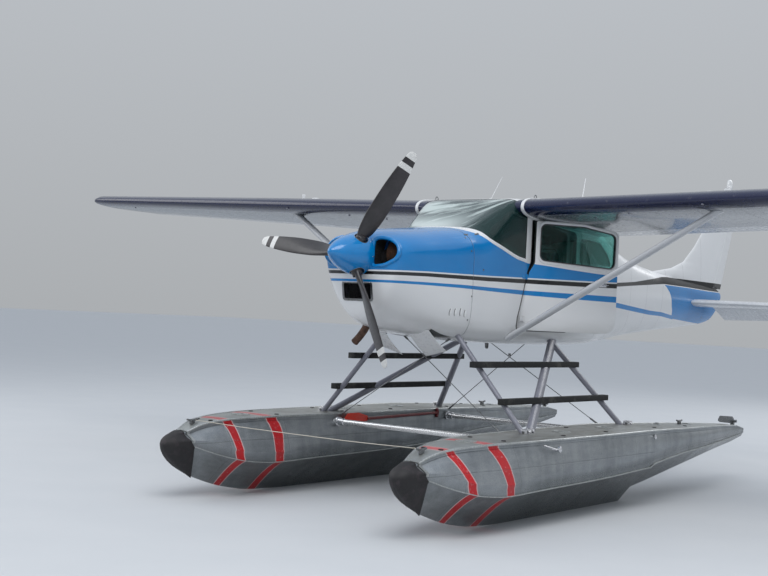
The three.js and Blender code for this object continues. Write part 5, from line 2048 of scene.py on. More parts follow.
@dataclass
class Propeller:
    """Spinner and three blades."""

    plane: float = -1.090
    angle: float = 35.9
    spinner: tuple = ((0, -1.385), (.022, -1.3765), (.045, -1.35), (.064, -1.3255),
                      (.083, -1.30), (.112, -1.25), (.134, -1.20), (.152, -1.15),
                      (.167, -1.09), (.174, -1.05), (.178, -1.01))
    # radius, chord, thickness, pitch
    blade: tuple = ((.10, .085, .070, 60), (.16, .092, .058, 58), (.23, .130, .044, 50),
                    (.42, .158, .028, 36), (.60, .154, .019, 28), (.78, .134, .014, 25),
                    (.90, .108, .011, 22), (.985, .076, .008, 20),
                    (1.000, .054, .007, 20), (1.007, .028, .005, 20))

    def build(self) -> None:
        """Make the spinner, then the blades."""
        self.make_spinner()
        self.blades()

    def turn(self, k: int) -> Matrix:
        """From the upright place to that of a blade."""
        return Matrix.Rotation(math.radians(self.angle + 120 * k), 4, "Y")

    def rim(self) -> list[Point]:
        """Edge of the upright blade's hole in the spinner."""
        path = []
        for a in np.linspace(0, 2 * math.pi, 48, endpoint=False):
            x, y = .060 * math.cos(a), self.plane + .060 * math.sin(a)
            out = float(np.interp(y, [v[1] for v in self.spinner], [v[0] for v in self.spinner]))
            path.append((x, y, math.sqrt(max(out * out - x * x, 1e-4)) + .001))
        return path

    def make_spinner(self) -> None:
        """Spinner with its rear plate, rims and collars at the blades, and screws."""
        rows = smooth([(k, *p) for k, p in enumerate(self.spinner)],
                      np.linspace(0, len(self.spinner) - 1, 40))
        profile = [(y, max(r, .0004)) for r, y in rows]
        profile += [(-1.008, .178), (-1.008, .150), (-1.010, .045)]
        shell = Bench.lathe("spinner_skin", profile, (0, 0, 0), (0, 1, 0), 64)
        hub = ((0, self.plane, 0), (0, 0, 1), 40)
        collars, rims, screws = [], [], []
        for k in range(3):
            turn = self.turn(k)
            hole = Bench.lathe("hole", ((.09, .058), (.30, .058)), *hub)
            Bench.shape(shell, Bench.move(hole, turn))
            rims.append(Bench.move(Bench.sweep("rim", self.rim(), oval(.007, .005, 8), True),
                                   turn))
            collars.append(Bench.move(Bench.lathe("collar", (
                (.085, .050), (.150, .050), (.155, .047), (.176, .047), (.180, .044),
                (.196, .044), (.199, .036)), *hub), turn))
            for d in (-18, 18, 60):
                a = math.radians(self.angle + 120 * k + d)
                out = Vector((math.sin(a), 0, math.cos(a)))
                screws.append(Bench.lathe("screw", (
                    (-.001, .006), (.0008, .0055), (.0016, .003), (.0017, .0002)),
                    (.1775 * out.x, -1.022, .1775 * out.z), tuple(out), 12))
        dress(shell, PAINT_BLUE, "propeller", ("spinner",), angle=40)
        for name, parts, finish, slot in (
                ("blade_cutout_rims", rims, STEEL, "bright_metal"),
                ("blade_collars", collars, BLADE, "blade_metal"),
                ("spinner_screws", screws, CHROME, "bright_metal")):
            dress(Bench.join(name, parts), finish, "propeller")

    def blades(self) -> None:
        """Three blades, two of them copies of one."""
        radii = list(np.linspace(.10, .985, 28)) + [.995, 1.000, 1.004, 1.007]
        rings = []
        for r, (chord, thick, pitch) in zip(radii, smooth(self.blade, radii)):
            a = math.radians(pitch)
            rings.append([(u * math.cos(a) - v * math.sin(a), self.plane + u * math.sin(a)
                           + v * math.cos(a), r) for u, v in teardrop(chord, thick, 28)])
        blade = Bench.skin("blade_pattern", rings)
        for k in range(3):
            one = blade if k == 2 else Bench.copy(blade, "blade")
            one.name = f"blade_skin_{k + 1}"
            dress(Bench.move(one, self.turn(k)), BLADE, "propeller",
                  (f"blade_{k + 1}",), angle=60)


@dataclass
class Floats:
    """Twin floats with bumpers, struts, steps, spreaders and wires."""

    x: float = FLOAT_X
    nose: float = -1.663
    # station, half width at the chine, keel, chine, half width at the deck, deck edge, crown
    fore: tuple = ((-1.935, .062, -1.745, -1.657, .034, -1.603, -1.598),
                   (-1.85, .102, -1.815, -1.662, .048, -1.582, -1.575),
                   (-1.757, .14, -1.88, -1.67, .064, -1.557, -1.547),
                   (-1.64, .19, -1.937, -1.708, .091, -1.510, -1.498),
                   (-1.53, .235, -1.975, -1.743, .119, -1.482, -1.470),
                   (-1.4, .277, -2.016, -1.776, .144, -1.466, -1.454),
                   (-1.264, .31, -2.05, -1.803, .172, -1.456, -1.444),
                   (-.9, .345, -2.105, -1.827, .235, -1.444, -1.431),
                   (-.5, .35, -2.12, -1.817, .275, -1.441, -1.427),
                   (.5, .35, -2.12, -1.8, .312, -1.439, -1.424),
                   (1.6, .35, -2.12, -1.76, .33, -1.436, -1.420))
    aft: tuple = ((1.6001, .345, -2.03, -1.738, .33, -1.436, -1.420),
                  (2.03, .322, -1.983, -1.703, .303, -1.445, -1.428),
                  (2.5, .285, -1.922, -1.676, .262, -1.458, -1.441),
                  (3.16, .215, -1.836, -1.66, .195, -1.474, -1.459),
                  (3.85, .12, -1.745, -1.641, .108, -1.497, -1.484),
                  (4.31, .062, -1.69, -1.62, .06, -1.522, -1.512),
                  (4.59, .026, -1.645, -1.603, .024, -1.56, -1.554))
    # station, growth, roundness, half width, top and foot of the rings of the bow bumper
    cap: tuple = ((-1.762, .006, 0, .13, -1.55, -1.87), (-1.768, .014, 0, .13, -1.55, -1.87),
                  (-1.80, .015, .2, .122, -1.550, -1.940),
                  (-1.84, .014, .6, .114, -1.561, -1.898),
                  (-1.87, .012, .9, .105, -1.570, -1.860), (-1.90, .010, 1, .093, -1.583, -1.822),
                  (-1.925, 0, 1, .078, -1.600, -1.785), (-1.944, 0, 1, .061, -1.618, -1.753),
                  (-1.957, 0, 1, .043, -1.636, -1.722), (-1.964, 0, 1, .024, -1.649, -1.697),
                  (-1.967, 0, 1, .003, -1.661, -1.668))
    # name, upper end, lower end, chord and thickness
    struts: tuple = (
        ("front_float_strut", (.372, -.034, -.617), (1.115, -.019, -1.456), .066, .040),
        ("rear_float_strut", (.435, 1.416, -.605), (1.120, 1.898, -1.512), .090, .042),
        ("diagonal_float_strut", (.452, 1.538, -.630), (1.130, 0, -1.479), .092, .044))
    # name, x, height, front and rear end
    steps: tuple = (("upper_step", .662, -.880, -.19, 1.64),
                    ("lower_step", .912, -1.180, -.11, 1.79))
    clear: Piece = field(init=False, repr=False)    # the port float's form, a little grown
    body: Piece = field(init=False, repr=False)     # the body form, a little grown

    def numbers(self, y: float) -> np.ndarray:
        """The section's numbers at a station."""
        table = self.fore if y <= 1.6 else self.aft
        return smooth(table, y)[0]

    def half(self, y: float, grow: float = 0.0) -> list[Pair]:
        """Half a section from keel to crown, as (across, height)."""
        wc, zk, zc, wd, zd, zt = self.numbers(y)
        wc, wd = wc + grow, wd + grow
        out = [(wc * f, zk - grow + (zc - zk) * (1 - (1 - f) ** 1.3))
               for f in np.linspace(0, .97, 10)]
        k = min(1.0, (zd - zc) / .2)
        strake, lip = .085 * k, .026 * k
        out += [(wc, zc - .003), (wc, zc + .003), (wc - .010 * k, zc + .006 * k)]
        foot = (wc - .002, zc + strake)
        out += [(wc - .010 * k, zc + strake * .6), foot]
        top = (wd, zd - lip - .002)
        for f in np.linspace(0, 1, 8)[1:]:
            bow = .010 * k * math.sin(math.pi * f)
            out.append((foot[0] + (top[0] - foot[0]) * f + bow, foot[1] + (top[1] - foot[1]) * f))
        bead = .006 * k
        out += [(wd + bead, zd - lip), (wd + bead, zd - .5 * lip), (wd + .001, zd - .48 * lip),
                (wd + bead, zd - .44 * lip), (wd + bead, zd), (wd - .002, zd + .002)]
        for f in np.linspace(0, 1, 10)[1:]:
            a = f * math.pi / 2
            rise = (zt - zd - .003) * math.sin(a) ** .9
            out.append(((wd - .004) * math.cos(a), zd + .003 + rise))
        out[0] = (0, out[0][1])
        out[-1] = (0, zt + grow)
        return out

    def ring(self, y: float, grow: float = 0.0) -> np.ndarray:
        """Whole section of the port float."""
        half = self.half(y, grow)
        both = half + [(-a, b) for a, b in half[-2:0:-1]]
        return np.array([(self.x + a, y, b) for a, b in both])

    def form(self, name: str, grow: float = 0.0) -> Piece:
        """The port float as one closed piece."""
        ys = list(np.linspace(-1.788, -1.2, 18)) + list(np.linspace(-1.1, 1.6, 28))
        ys += list(np.linspace(1.6001, 4.59, 42))
        return Bench.skin(name, [self.ring(y, grow) for y in ys])

    def deck(self, x: float, y: float) -> float:
        """Height of the deck of the port float at a place."""
        _, _, _, wd, zd, zt = self.numbers(y)
        part = min(abs(x - self.x) / wd, 1.0)
        return float(zd + (zt - zd) * (1 - part ** 2) ** .45)

    def build(self) -> None:
        """Make floats, bumpers, struts, steps, spreaders and wires."""
        hull = self.form("float_skin_port")
        self.clear = self.form("float form", .0004)
        self.body = BODY.solid("body form", -.9, 2.7, -.0003)
        twins("float_skin", hull, FLOAT_SKIN, "float", 24)
        self.bumper()
        self.truss()
        self.spreaders()
        self.rudders()
        Bench.drop(self.clear)
        Bench.drop(self.body)

    def bumper(self) -> None:
        """Black rubber cap over the bow, its rear edge raked."""
        turn = np.linspace(-math.pi, math.pi, 144, endpoint=False)
        stations, reach = np.linspace(-1.935, -1.58, 30), []
        for y in stations:
            ring = self.ring(y)
            off, up = ring[:, 0] - self.x, ring[:, 2] - self.nose
            a = np.arctan2(up, off)
            order = np.argsort(a)
            reach.append(np.interp(turn, a[order], np.hypot(off, up)[order],
                                   period=2 * math.pi))
        reach = np.array(reach)
        rim = self.nose + reach[14] * np.sin(turn)
        lean = np.clip((-1.64 - rim) * .6, -.025, .14)
        rows = []
        for y, grow, round_, wide, top, foot in self.cap:
            at = y + lean * np.clip((y + 1.97) / .2, 0, 1)
            r = np.array([np.interp(max(q, -1.88), stations, reach[:, i])
                          for i, q in enumerate(at)]) + grow
            tall = np.where(turn > 0, top - self.nose, self.nose - foot)
            r += (1 / np.hypot(np.cos(turn) / wide, np.sin(turn) / tall) - r) * round_
            for _ in range(int(round_ * 10)):
                r = (np.roll(r, 1) + r + np.roll(r, -1)) / 3
            rows.append(np.column_stack([self.x + r * np.cos(turn), at,
                                         self.nose + r * np.sin(turn)]))
        cap = Bench.skin("bow_bumper_skin", rows)
        twins("bow_bumper_skin", cap, RUBBER, "bow_bumper", 70)

    def truss(self) -> None:
        """Streamlined struts and the step boards along them."""
        taken = Bench.shape(Bench.copy(self.body, "taken"), self.clear, "UNION", keep=True)
        for name, a, b, chord, thick in self.struts:
            p, q = Vector(a), Vector(b)
            along = (q - p).normalized()
            fore = Vector((0, 1, 0)) if abs(along.y) < .9 else Vector((0, 0, 1))
            fore = (fore - along * fore.dot(along)).normalized()
            path = [tuple(p + (q - p) * f) for f in (0, .08, .5, .92, 1)]
            bar = Bench.sweep(name, path, across(teardrop(chord, thick, 32)), False, tuple(fore))
            Bench.shape(bar, taken, keep=True)
            twins(f"{name}_skin", bar, PAINT_GREY, name)
        Bench.drop(taken)
        for name, x, z, start, end in self.steps:
            board = Bench.block(name, (x - .034, start, z - .024), (x + .034, end, z + .028),
                                .004, 2)
            twins(f"{name}_skin", board, GRIT, name)

    def spreaders(self) -> None:
        """Tubes between the floats, with collars, and the crossed wires above them."""
        for name, y in (("front_spreader", -.10), ("rear_spreader", 1.70)):
            tube = Bench.lathe(f"{name}_tube", [
                (-.885, .025), (-.885, .031), (-.80, .031), (-.795, .025), (.795, .025),
                (.80, .031), (.885, .031), (.885, .025)], (0, y, -1.5), (1, 0, 0), 32)
            dress(tube, BRIGHT, stands_for=(name,))
        for name, y0, y1 in (("front_brace_wires", .06, -.04), ("rear_brace_wires", 1.40, 1.76)):
            parts = []
            for s in (1, -1):
                a = Vector((s * .30, y0, -.640))
                b = Vector((-s * .88, y1, -1.448))
                parts.append(Bench.rod("wire", (a, b), .004, 8))
                for end, inward in ((a, b), (b, a)):
                    d = (inward - end).normalized()
                    parts.append(Bench.lathe("barrel", (
                        (.0, .004), (.02, .009), (.10, .009), (.12, .0045)), tuple(end),
                        tuple(d), 12))
            f = .249
            mid = (0, y0 + (y1 - y0) * f, -.610 - .852 * f)
            parts.append(Bench.block("clamp", (-.012, mid[1] - .008, mid[2] - .012),
                                     (.012, mid[1] + .008, mid[2] + .012), .003))
            dress(Bench.join(f"{name}_set", parts), STEEL, stands_for=(name,))

    def rudders(self) -> None:
        """Water rudders folded forward over the stern decks."""
        plate = rounded(((4.33, -1.4997, .01), (4.36, -1.45, .02), (4.30, -1.42, .02),
                         (3.96, -1.40, .04), (3.90, -1.45, .03), (3.96, -1.468, .01)))
        blade = Bench.prism("plate", plate, Along.X, self.x - .004, self.x + .004)
        parts = [blade, Bench.rod("pivot", ((self.x - .045, 4.32, -1.47),
                                            (self.x + .045, 4.32, -1.47)), .016, 16),
                 Bench.block("post", (self.x - .02, 4.305, -1.512), (self.x + .02, 4.335, -1.47),
                             .004)]
        for y in (4.02, 4.12, 4.22):
            x = self.x - .0045
            parts.append(Bench.rod("bead", ((x, y, -1.455), (x, y + .01, -1.42)), .004, 8))
        twins("water_rudder_skin", Bench.join("rudder", parts), STEEL,
                  "water_rudder")


@dataclass
class Interior:
    """Instrument panel, glare shield, yokes, pedals and the padded seats."""

    pitch: float = .095
    # x low and high, y of front and back, cushion top, top of the back
    front: tuple = (.055, .475, .94, 1.375, -.262, .235)
    rear: tuple = (-.475, .475, 1.79, 2.185, -.275, .125)
    lean: float = 11.0
    swell: float = .024     # how far the stuffing may push a pad out
    edge: float = .026      # roundness of a pad's edges and place of its welt
    corner: float = .035    # roundness of the welt's corners, and where the channels end
    sewn: Pair = (.011, .010)   # depth and half width of a sewn channel
    frames: int = 20        # steps of the cloth

    def build(self) -> None:
        """Make the panel, the controls and the seats."""
        self.panel()
        self.controls()
        self.seats()

    def panel(self) -> None:
        """Panel trimmed to the cabin, dials on a grid, radios, knobs and the shield above."""
        face = Bench.block("instrument_panel_face", (-.52, .250, -.06), (.52, .290, .30))
        Bench.shape(face, BODY.solid("inside form", .2, .4, .045, .09), "INTERSECT")
        dress(face, PLASTIC, stands_for=("instrument_panel",), bevel=.003)
        cluster = Bench.block("instrument_cluster", (-.42, .286, .024), (.42, .313, .236), .010, 3)
        dress(cluster, PLASTIC)
        rims, faces, knobs, screens = [], [], [], []
        for z in (.080, .175):
            for k in range(-4, 4):
                x = (k + .5) * self.pitch
                if abs(x) < .06:
                    continue
                rims.append(Bench.lathe("rim", (
                    (0, .030), (0, .0405), (.005, .0415), (.008, .039), (.008, .0345),
                    (.003, .0335), (.002, .030)), (x, .3125, z), (0, 1, 0), 32))
                faces.append(Bench.lathe("face", ((.001, .0345), (.0034, .0345), (.0035, .001)),
                                         (x, .3125, z), (0, 1, 0), 32))
        for k, z in enumerate((.046, .088, .130, .172)):
            knobs.append(Bench.block("radio", (-.078, .31, z - .016), (.078, .322, z + .016),
                                     .003, 2))
            screens.append(Bench.block("window", (-.045, .321, z - .008), (.045, .3235, z + .009),
                                       .001, 1))
            for x in (-.062, .062):
                knobs.append(self.knob(x, .320, z, .008, .012))
        for k, x in enumerate((-.34, -.30, -.16, -.12, -.06, -.02, .03, .08, .13, .35, .39)):
            knobs.append(self.knob(x, .289, -.026, .011 if k % 3 else .015, .030))
        for x in np.linspace(.17, .31, 6):
            knobs.append(Bench.block("switch", (x - .006, .288, -.045), (x + .006, .300, -.022),
                                     .002, 2))
        dress(Bench.join("dial_rims", rims), STEEL, angle=50)
        dress(Bench.join("dial_faces", faces), DIAL)
        dress(Bench.join("radio_windows", screens), GASKET)
        dress(Bench.join("radios_and_knobs", knobs), RUBBER, angle=50)
        xs, rows = np.linspace(-.455, .455, 33), []
        for y, d in ((.118, .006), (.20, 0), (.30, 0), (.338, .002), (.350, .008), (.353, .016)):
            top = [(x, y, BODY.roof(x, .13) - .022 - d) for x in xs]
            rows.append(top + [(x, min(y, .338), z - .014 + d * .6) for x, _, z in top[::-1]])
        dress(Bench.skin("glare_shield", rows), RUBBER, angle=50)

    @staticmethod
    def knob(x: float, y: float, z: float, radius: float, reach: float) -> Piece:
        """Push-pull knob that faces aft."""
        return Bench.lathe("knob", (
            (-.004, radius * .35), (reach - .012, radius * .35), (reach - .011, radius * .9),
            (reach - .002, radius), (reach, radius * .6), (reach + .0005, .0006)),
                           (x, y, z), (0, 1, 0), 16)

    def controls(self) -> None:
        """Two yokes with their shafts and two pairs of pedals."""
        horn = np.array(((.012, 0, -.012), (.060, 0, -.030), (.105, 0, -.022), (.134, 0, .012),
                         (.142, 0, .055), (.126, 0, .098)))
        parts = []
        for x in (-.26, .26):
            hub = np.array((x, .425, -.015))
            parts += [Bench.rod("shaft", ((x, .286, -.015), (x, .432, -.015)), .011, 20),
                      Bench.lathe("collar", ((0, .012), (0, .022), (.008, .022), (.012, .012)),
                                  (x, .289, -.015), (0, 1, 0), 24),
                      Bench.block("hub", tuple(hub + (-.030, -.013, -.034)),
                                  tuple(hub + (.030, .013, .022)), .009, 3)]
            for s in (1, -1):
                parts.append(Bench.rod("horn", hub + horn * (s, 1, 1), .0125, 14, False, 26))
                tip = hub + horn[-1] * (s, 1, 1)
                parts.append(Bench.lathe("end", ((-.004, .0125), (.004, .012), (.009, .007),
                                                 (.0105, .0006)), tuple(tip), (-.38 * s, 0, 1), 14))
        dress(Bench.join("control_yokes", parts), RUBBER, angle=60)
        parts = []
        for x in (-.345, -.195, .195, .345):
            pad = Bench.block("pedal", (-.042, -.008, -.052), (.042, .008, .052), .006, 3)
            Bench.move(pad, Matrix.Translation((x, .20, -.49))
                       @ Matrix.Rotation(math.radians(-24), 4, "X"))
            parts += [pad, Bench.rod("arm", ((x, .205, -.53), (x, .180, -.618)), .008, 12)]
        dress(Bench.join("rudder_pedals", parts), STEEL, angle=50)

    def pad(self, name: str, low: Point, high: Point, voxel: float,
            channels: Sequence[float], thick: Along) -> Piece:
        """Stuffed pad: a rounded block blown up as cloth, then sewn in channels.

        Args:
            name: name of the piece.
            low: its lowest corner.
            high: its highest corner.
            voxel: size of the cloth's cells.
            channels: where the sewn lines run, from 0 to 1 over the x of the pad.
            thick: axis of its thickness, y for a back and z for a cushion.

        Returns:
            The piece.
        """
        axis, along = thick.value, 3 - thick.value
        facing = 1 if thick is Along.Z else -1
        low_, high_ = np.array(low), np.array(high)
        slim = (high_ - low_) * .012
        slim[axis] = self.swell * .45
        piece = Bench.block(name, tuple(low_ + slim), tuple(high_ - slim), self.edge, 4)
        Bench.refine(piece, "REMESH", mode="VOXEL", voxel_size=voxel)
        start = Bench.points(piece)
        Bench.hold(piece)
        cloth = piece.modifiers.new("cloth", "CLOTH")
        cloth.settings.use_pressure = True
        cloth.settings.uniform_pressure_force = 4.0
        cloth.settings.effector_weights.gravity = 0.0
        cloth.settings.quality = 4
        cloth.point_cache.frame_start, cloth.point_cache.frame_end = 1, self.frames
        for at in range(1, self.frames + 1):
            bpy.context.scene.frame_set(at)
        bpy.ops.object.modifier_apply(modifier=cloth.name)
        bpy.context.scene.frame_set(1)
        push = Bench.points(piece) - start
        far = np.linalg.norm(push, axis=1, keepdims=True)
        Bench.put(piece, start + push * np.minimum(1, self.swell / np.maximum(far, 1e-9)))
        Bench.refine(piece, "SUBSURF", levels=1, render_levels=1)
        p = Bench.points(piece)
        part = (p[:, 0] - low_[0]) / (high_[0] - low_[0])
        middle = (low_[axis] + high_[axis]) / 2
        rim = np.minimum(p[:, along] - low_[along], high_[along] - p[:, along])
        inside = np.clip((rim - self.corner) / .02, 0, 1)
        front = np.clip((p[:, axis] - middle) * facing / .02, 0, 1)
        depth, width = self.sewn
        for at in channels:
            gap = np.abs(part - at) * (high_[0] - low_[0])
            p[:, axis] -= depth * np.exp(-(gap / width) ** 2) * inside * front * facing
        Bench.put(piece, p)
        return piece

    def piping(self, name: str, low: Point, high: Point, thick: Along) -> Piece:
        """Sewn welt round the front edge of a pad."""
        v = 3 - thick.value
        ends = ((low[0], low[v]), (high[0], low[v]), (high[0], high[v]), (low[0], high[v]))
        path = dense(rounded([(*end, self.corner) for end in ends]), .02)
        level = high[2] - self.edge if thick is Along.Z else low[1] + self.edge
        return Bench.rod(name, np.insert(path, thick.value, level, axis=1), .0042, 10, True)

    def seats(self) -> None:
        """Two front seats, one the copy of the other, and the rear bench."""
        for word, spec, voxel, cuts, deep in (
                ("front", self.front, .008, (.22, .41, .59, .78), .105),
                ("rear", self.rear, .010, (.11, .25, .39, .61, .75, .89), .10)):
            x0, x1, y0, y1, zc, zb = spec
            foot = zc - deep
            low, high = (x0, y0, foot), (x1, y1, zc)
            seat = [(self.pad(f"{word}_cushion", low, high, voxel, cuts, Along.Z), CLOTH, True),
                    (self.piping(f"{word}_cushion_welt", low, high, Along.Z), STRAP, False)]
            low, high = (x0, y1 - .010, zc + .012), (x1, y1 + .080, zb)
            back = [(self.pad(f"{word}_back", low, high, voxel, cuts, Along.Y), CLOTH, True),
                    (self.piping(f"{word}_back_welt", low, high, Along.Y), STRAP, False)]
            if word == "front":
                low, high = (x0 + .09, y1 + .005, zb + .03), (x1 - .09, y1 + .075, zb + .15)
                posts = [Bench.rod("post", ((x, y1 + .04, zb - .04), (x, y1 + .04, zb + .06)),
                                   .006, 12) for x in (x0 + .16, x1 - .16)]
                back += [(Bench.join("front_headrest_posts", posts), CHROME, False),
                         (self.pad("front_headrest", low, high, voxel, (), Along.Y), STRAP, True)]
            shell = Bench.block(f"{word}_back_shell", (x0 + .012, y1 + .072, zc - .05),
                                (x1 - .012, y1 + .092, zb - .02), .009, 3)
            back.append((shell, PLASTIC, False))
            for piece, _, _ in back:
                Bench.move(piece, about((0, y1, zc), -self.lean, "X"))
            base = Bench.block(f"{word}_seat_pan", (x0 + .015, y0 + .02, foot - .035),
                               (x1 - .015, y1 + .02, foot + .012), .010, 3)
            legs = [Bench.block("leg", (x - .014, y, -.628), (x + .014, y + .03, foot - .02),
                                .004, 2)
                    for x in (x0 + .05, x1 - .05) for y in (y0 + .06, y1 - .07)]
            rails = [Bench.block("rail", (x - .016, y0 + .02, -.630), (x + .016, y1 + .05, -.612),
                                 .004, 2) for x in (x0 + .05, x1 - .05)]
            seat += back + [(base, PLASTIC, False),
                            (Bench.join(f"{word}_seat_legs", legs + rails), STEEL, False)]
            for piece, finish, soft in seat:
                name = piece.name.split(".")[0]
                if word == "rear":
                    self.place(piece, finish, soft, "rear_seat")
                    continue
                other = Bench.mirror(piece, f"{name}_starboard")
                piece.name = piece.data.name = f"{name}_port"
                self.place(piece, finish, soft, "front_seat_port")
                self.place(other, finish, soft, "front_seat_starboard")

    @staticmethod
    def place(piece: Piece, finish: Finish, soft: bool, node: str) -> None:
        """Finish one piece of a seat and say what it stands for."""
        cloth = finish in (CLOTH, STRAP)
        dress(piece, finish,
              stands_for=(node,), angle=180 if soft else 40)


FLOATS = Floats()
WING = Wing()


@dataclass
class Fittings:
    """Small parts outside: rails, cleats, lugs, aerials, rings, hatches and the paddle."""

    def build(self) -> None:
        """Make them in groups that share a finish."""
        self.rails()
        self.deck_parts()
        self.feet()
        self.wing_parts()
        self.paddle()
        self.bow_line()

    @staticmethod
    def pair(name: str, pieces: Sequence[Piece], finish: Finish, slot: str,
             angle: float = 40.0) -> None:
        """Join port pieces, copy them to starboard and finish both."""
        twins(name, Bench.join(name, pieces), finish, angle=angle)

    def rails(self) -> None:
        """Extruded rail along both deck edges of a float and the strip along the chine."""
        ys = np.concatenate([np.linspace(-1.755, -1.2, 26), np.linspace(-1.15, 4.3, 60)])
        bars, strips = [], []
        for s in (1, -1):
            path, chine = [], []
            for y in ys:
                wc, _, zc, wd, zd, _ = FLOATS.numbers(y)
                path.append((FLOATS.x + s * (wd - .004), y, zd + .003))
                chine.append((FLOATS.x + s * (wc + .001), y, zc))
            bars.append(Bench.sweep("rail", path, [
                (-.011, -.006), (.011, -.006), (.0115, .004), (.006, .009), (-.006, .009),
                (-.0115, .004)], False, (0, 0, 1)))
            strips.append(Bench.sweep("strip", chine, [
                (-.004, -.004), (.004, -.004), (.004, .004), (-.004, .004)], False, (0, 0, 1)))
        self.pair("gunwale_rail", bars, RAIL, "float_metal")
        self.pair("chine_strip", strips, RAIL, "float_metal")

    def deck_parts(self) -> None:
        """Hatches, pump plugs, bow cleat, collar behind the bumper and its bolt."""
        x = FLOATS.x
        lids, plugs = [], []
        for y in (-1.05, .45, 1.25, 2.35, 3.05):
            z = FLOATS.deck(x, y)
            size = .085 if y < 2 else .06
            lids.append(Bench.lathe("lid", ((-.006, size), (.004, size), (.006, size - .006),
                                            (.006, size - .02), (.0045, size - .022),
                                            (.0045, .002)), (x, y, z), (0, 0, 1), 32))
            lids.append(Bench.block("grip", (x - .03, y - .006, z + .004),
                                    (x + .03, y + .006, z + .012), .003, 2))
        for y in (-1.5, -.75, .15, .9, 1.9, 2.7):
            for s in (1, -1):
                a = x + s * FLOATS.numbers(y)[3] * .62
                plugs.append(Bench.lathe("plug", ((-.004, .020), (.004, .020), (.006, .017),
                                                  (.0062, .001)), (a, y, FLOATS.deck(a, y)),
                                         (0, 0, 1), 20))
        self.pair("deck_hatches", lids, RAIL, "float_metal")
        self.pair("pump_plugs", plugs, RUBBER, "bumper_rubber")
        cleat = []
        for y in (-1.64, 2.9):
            z = FLOATS.deck(x, y)
            cleat += [Bench.rod("horn", [(x, y + d, z + h) for d, h in (
                          (-.062, .040), (-.03, .034), (.03, .034), (.062, .040))],
                                .0085, 12, False, 16),
                      Bench.block("stand", (x - .012, y - .026, z - .003),
                                  (x + .012, y + .026, z + .034), .006, 3)]
        self.pair("deck_cleats", cleat, STEEL, "bright_metal", 60)
        ring = FLOATS.ring(-1.752, .0045)
        top = ring[ring[:, 2] > -1.66]
        order = np.argsort(np.arctan2(top[:, 2] + 1.66, top[:, 0] - x))
        collar = Bench.sweep("collar", top[order], [
            (-.016, -.001), (.016, -.001), (.016, .0022), (-.016, .0022)], False,
            top[order] - (x, -1.752, -1.66))
        bolt = Bench.lathe("bolt", ((-.004, .011), (.003, .011), (.006, .007), (.0065, .0005)),
                           (x + .069, -1.898, -1.716), (.68, -.62, -.4), 16)
        self.pair("bow_collar", [collar], RAIL, "float_metal")
        self.pair("bumper_bolt", [bolt], CHROME, "bright_metal")

    def feet(self) -> None:
        """Forked feet and bolts where the struts and spreaders meet the floats, and fittings on the
        float sides.
        """
        forks, bolts = [], []
        for x, y, z in ((1.105, -.018, -1.445), (1.118, .035, -1.440), (1.112, 1.888, -1.440)):
            for d in (-.024, .024):
                forks.append(Bench.block("lug", (x - .034, y + d - .004, z - .020),
                                         (x + .034, y + d + .004, z + .052), .003, 2))
            forks.append(Bench.block("foot", (x - .060, y - .050, z - .008),
                                     (x + .060, y + .050, z + .002), .004, 2))
            bolts.append(Bench.lathe("bolt", ((-.036, .0105), (-.030, .0110), (-.029, .006),
                                              (.029, .006), (.030, .0110), (.036, .0105)),
                                     (x, y, z + .030), (0, 1, 0), 12))
            for sx in (-.045, .045):
                for sy in (-.036, .036):
                    bolts.append(Bench.lathe("head", ((-.002, .007), (.006, .007), (.0065, .001)),
                                             (x + sx, y + sy, z + .002), (0, 0, 1), 6))
        for y in (-.10, 1.70):
            forks.append(Bench.lathe("socket", ((0, .028), (0, .044), (.010, .044), (.016, .034),
                                                (.070, .032), (.074, .028)),
                                     (.845, y, -1.5), (-1, 0, 0), 28))
        side = [Bench.lathe("knob", profile, at, (1, 0, .1), 20) for profile, at in (
            (((-.01, .018), (.012, .018), (.016, .026), (.032, .026), (.038, .016),
              (.039, .001)), (1.508, -.18, -1.512)),
            (((-.01, .016), (.012, .016), (.015, .022), (.028, .022), (.032, .001)),
             (1.512, 1.604, -1.490)))]
        side += [Bench.rod("vee", (start, (1.522, -.200, -1.512)), .0065, 10) for start in (
            (1.516, -.413, -1.466), (1.516, -.292, -1.499))]
        self.pair("strut_feet", forks, CHROME, "bright_metal")
        self.pair("strut_bolts", bolts, STEEL, "bright_metal")
        self.pair("float_side_fittings", side, CHROME, "bright_metal", 50)

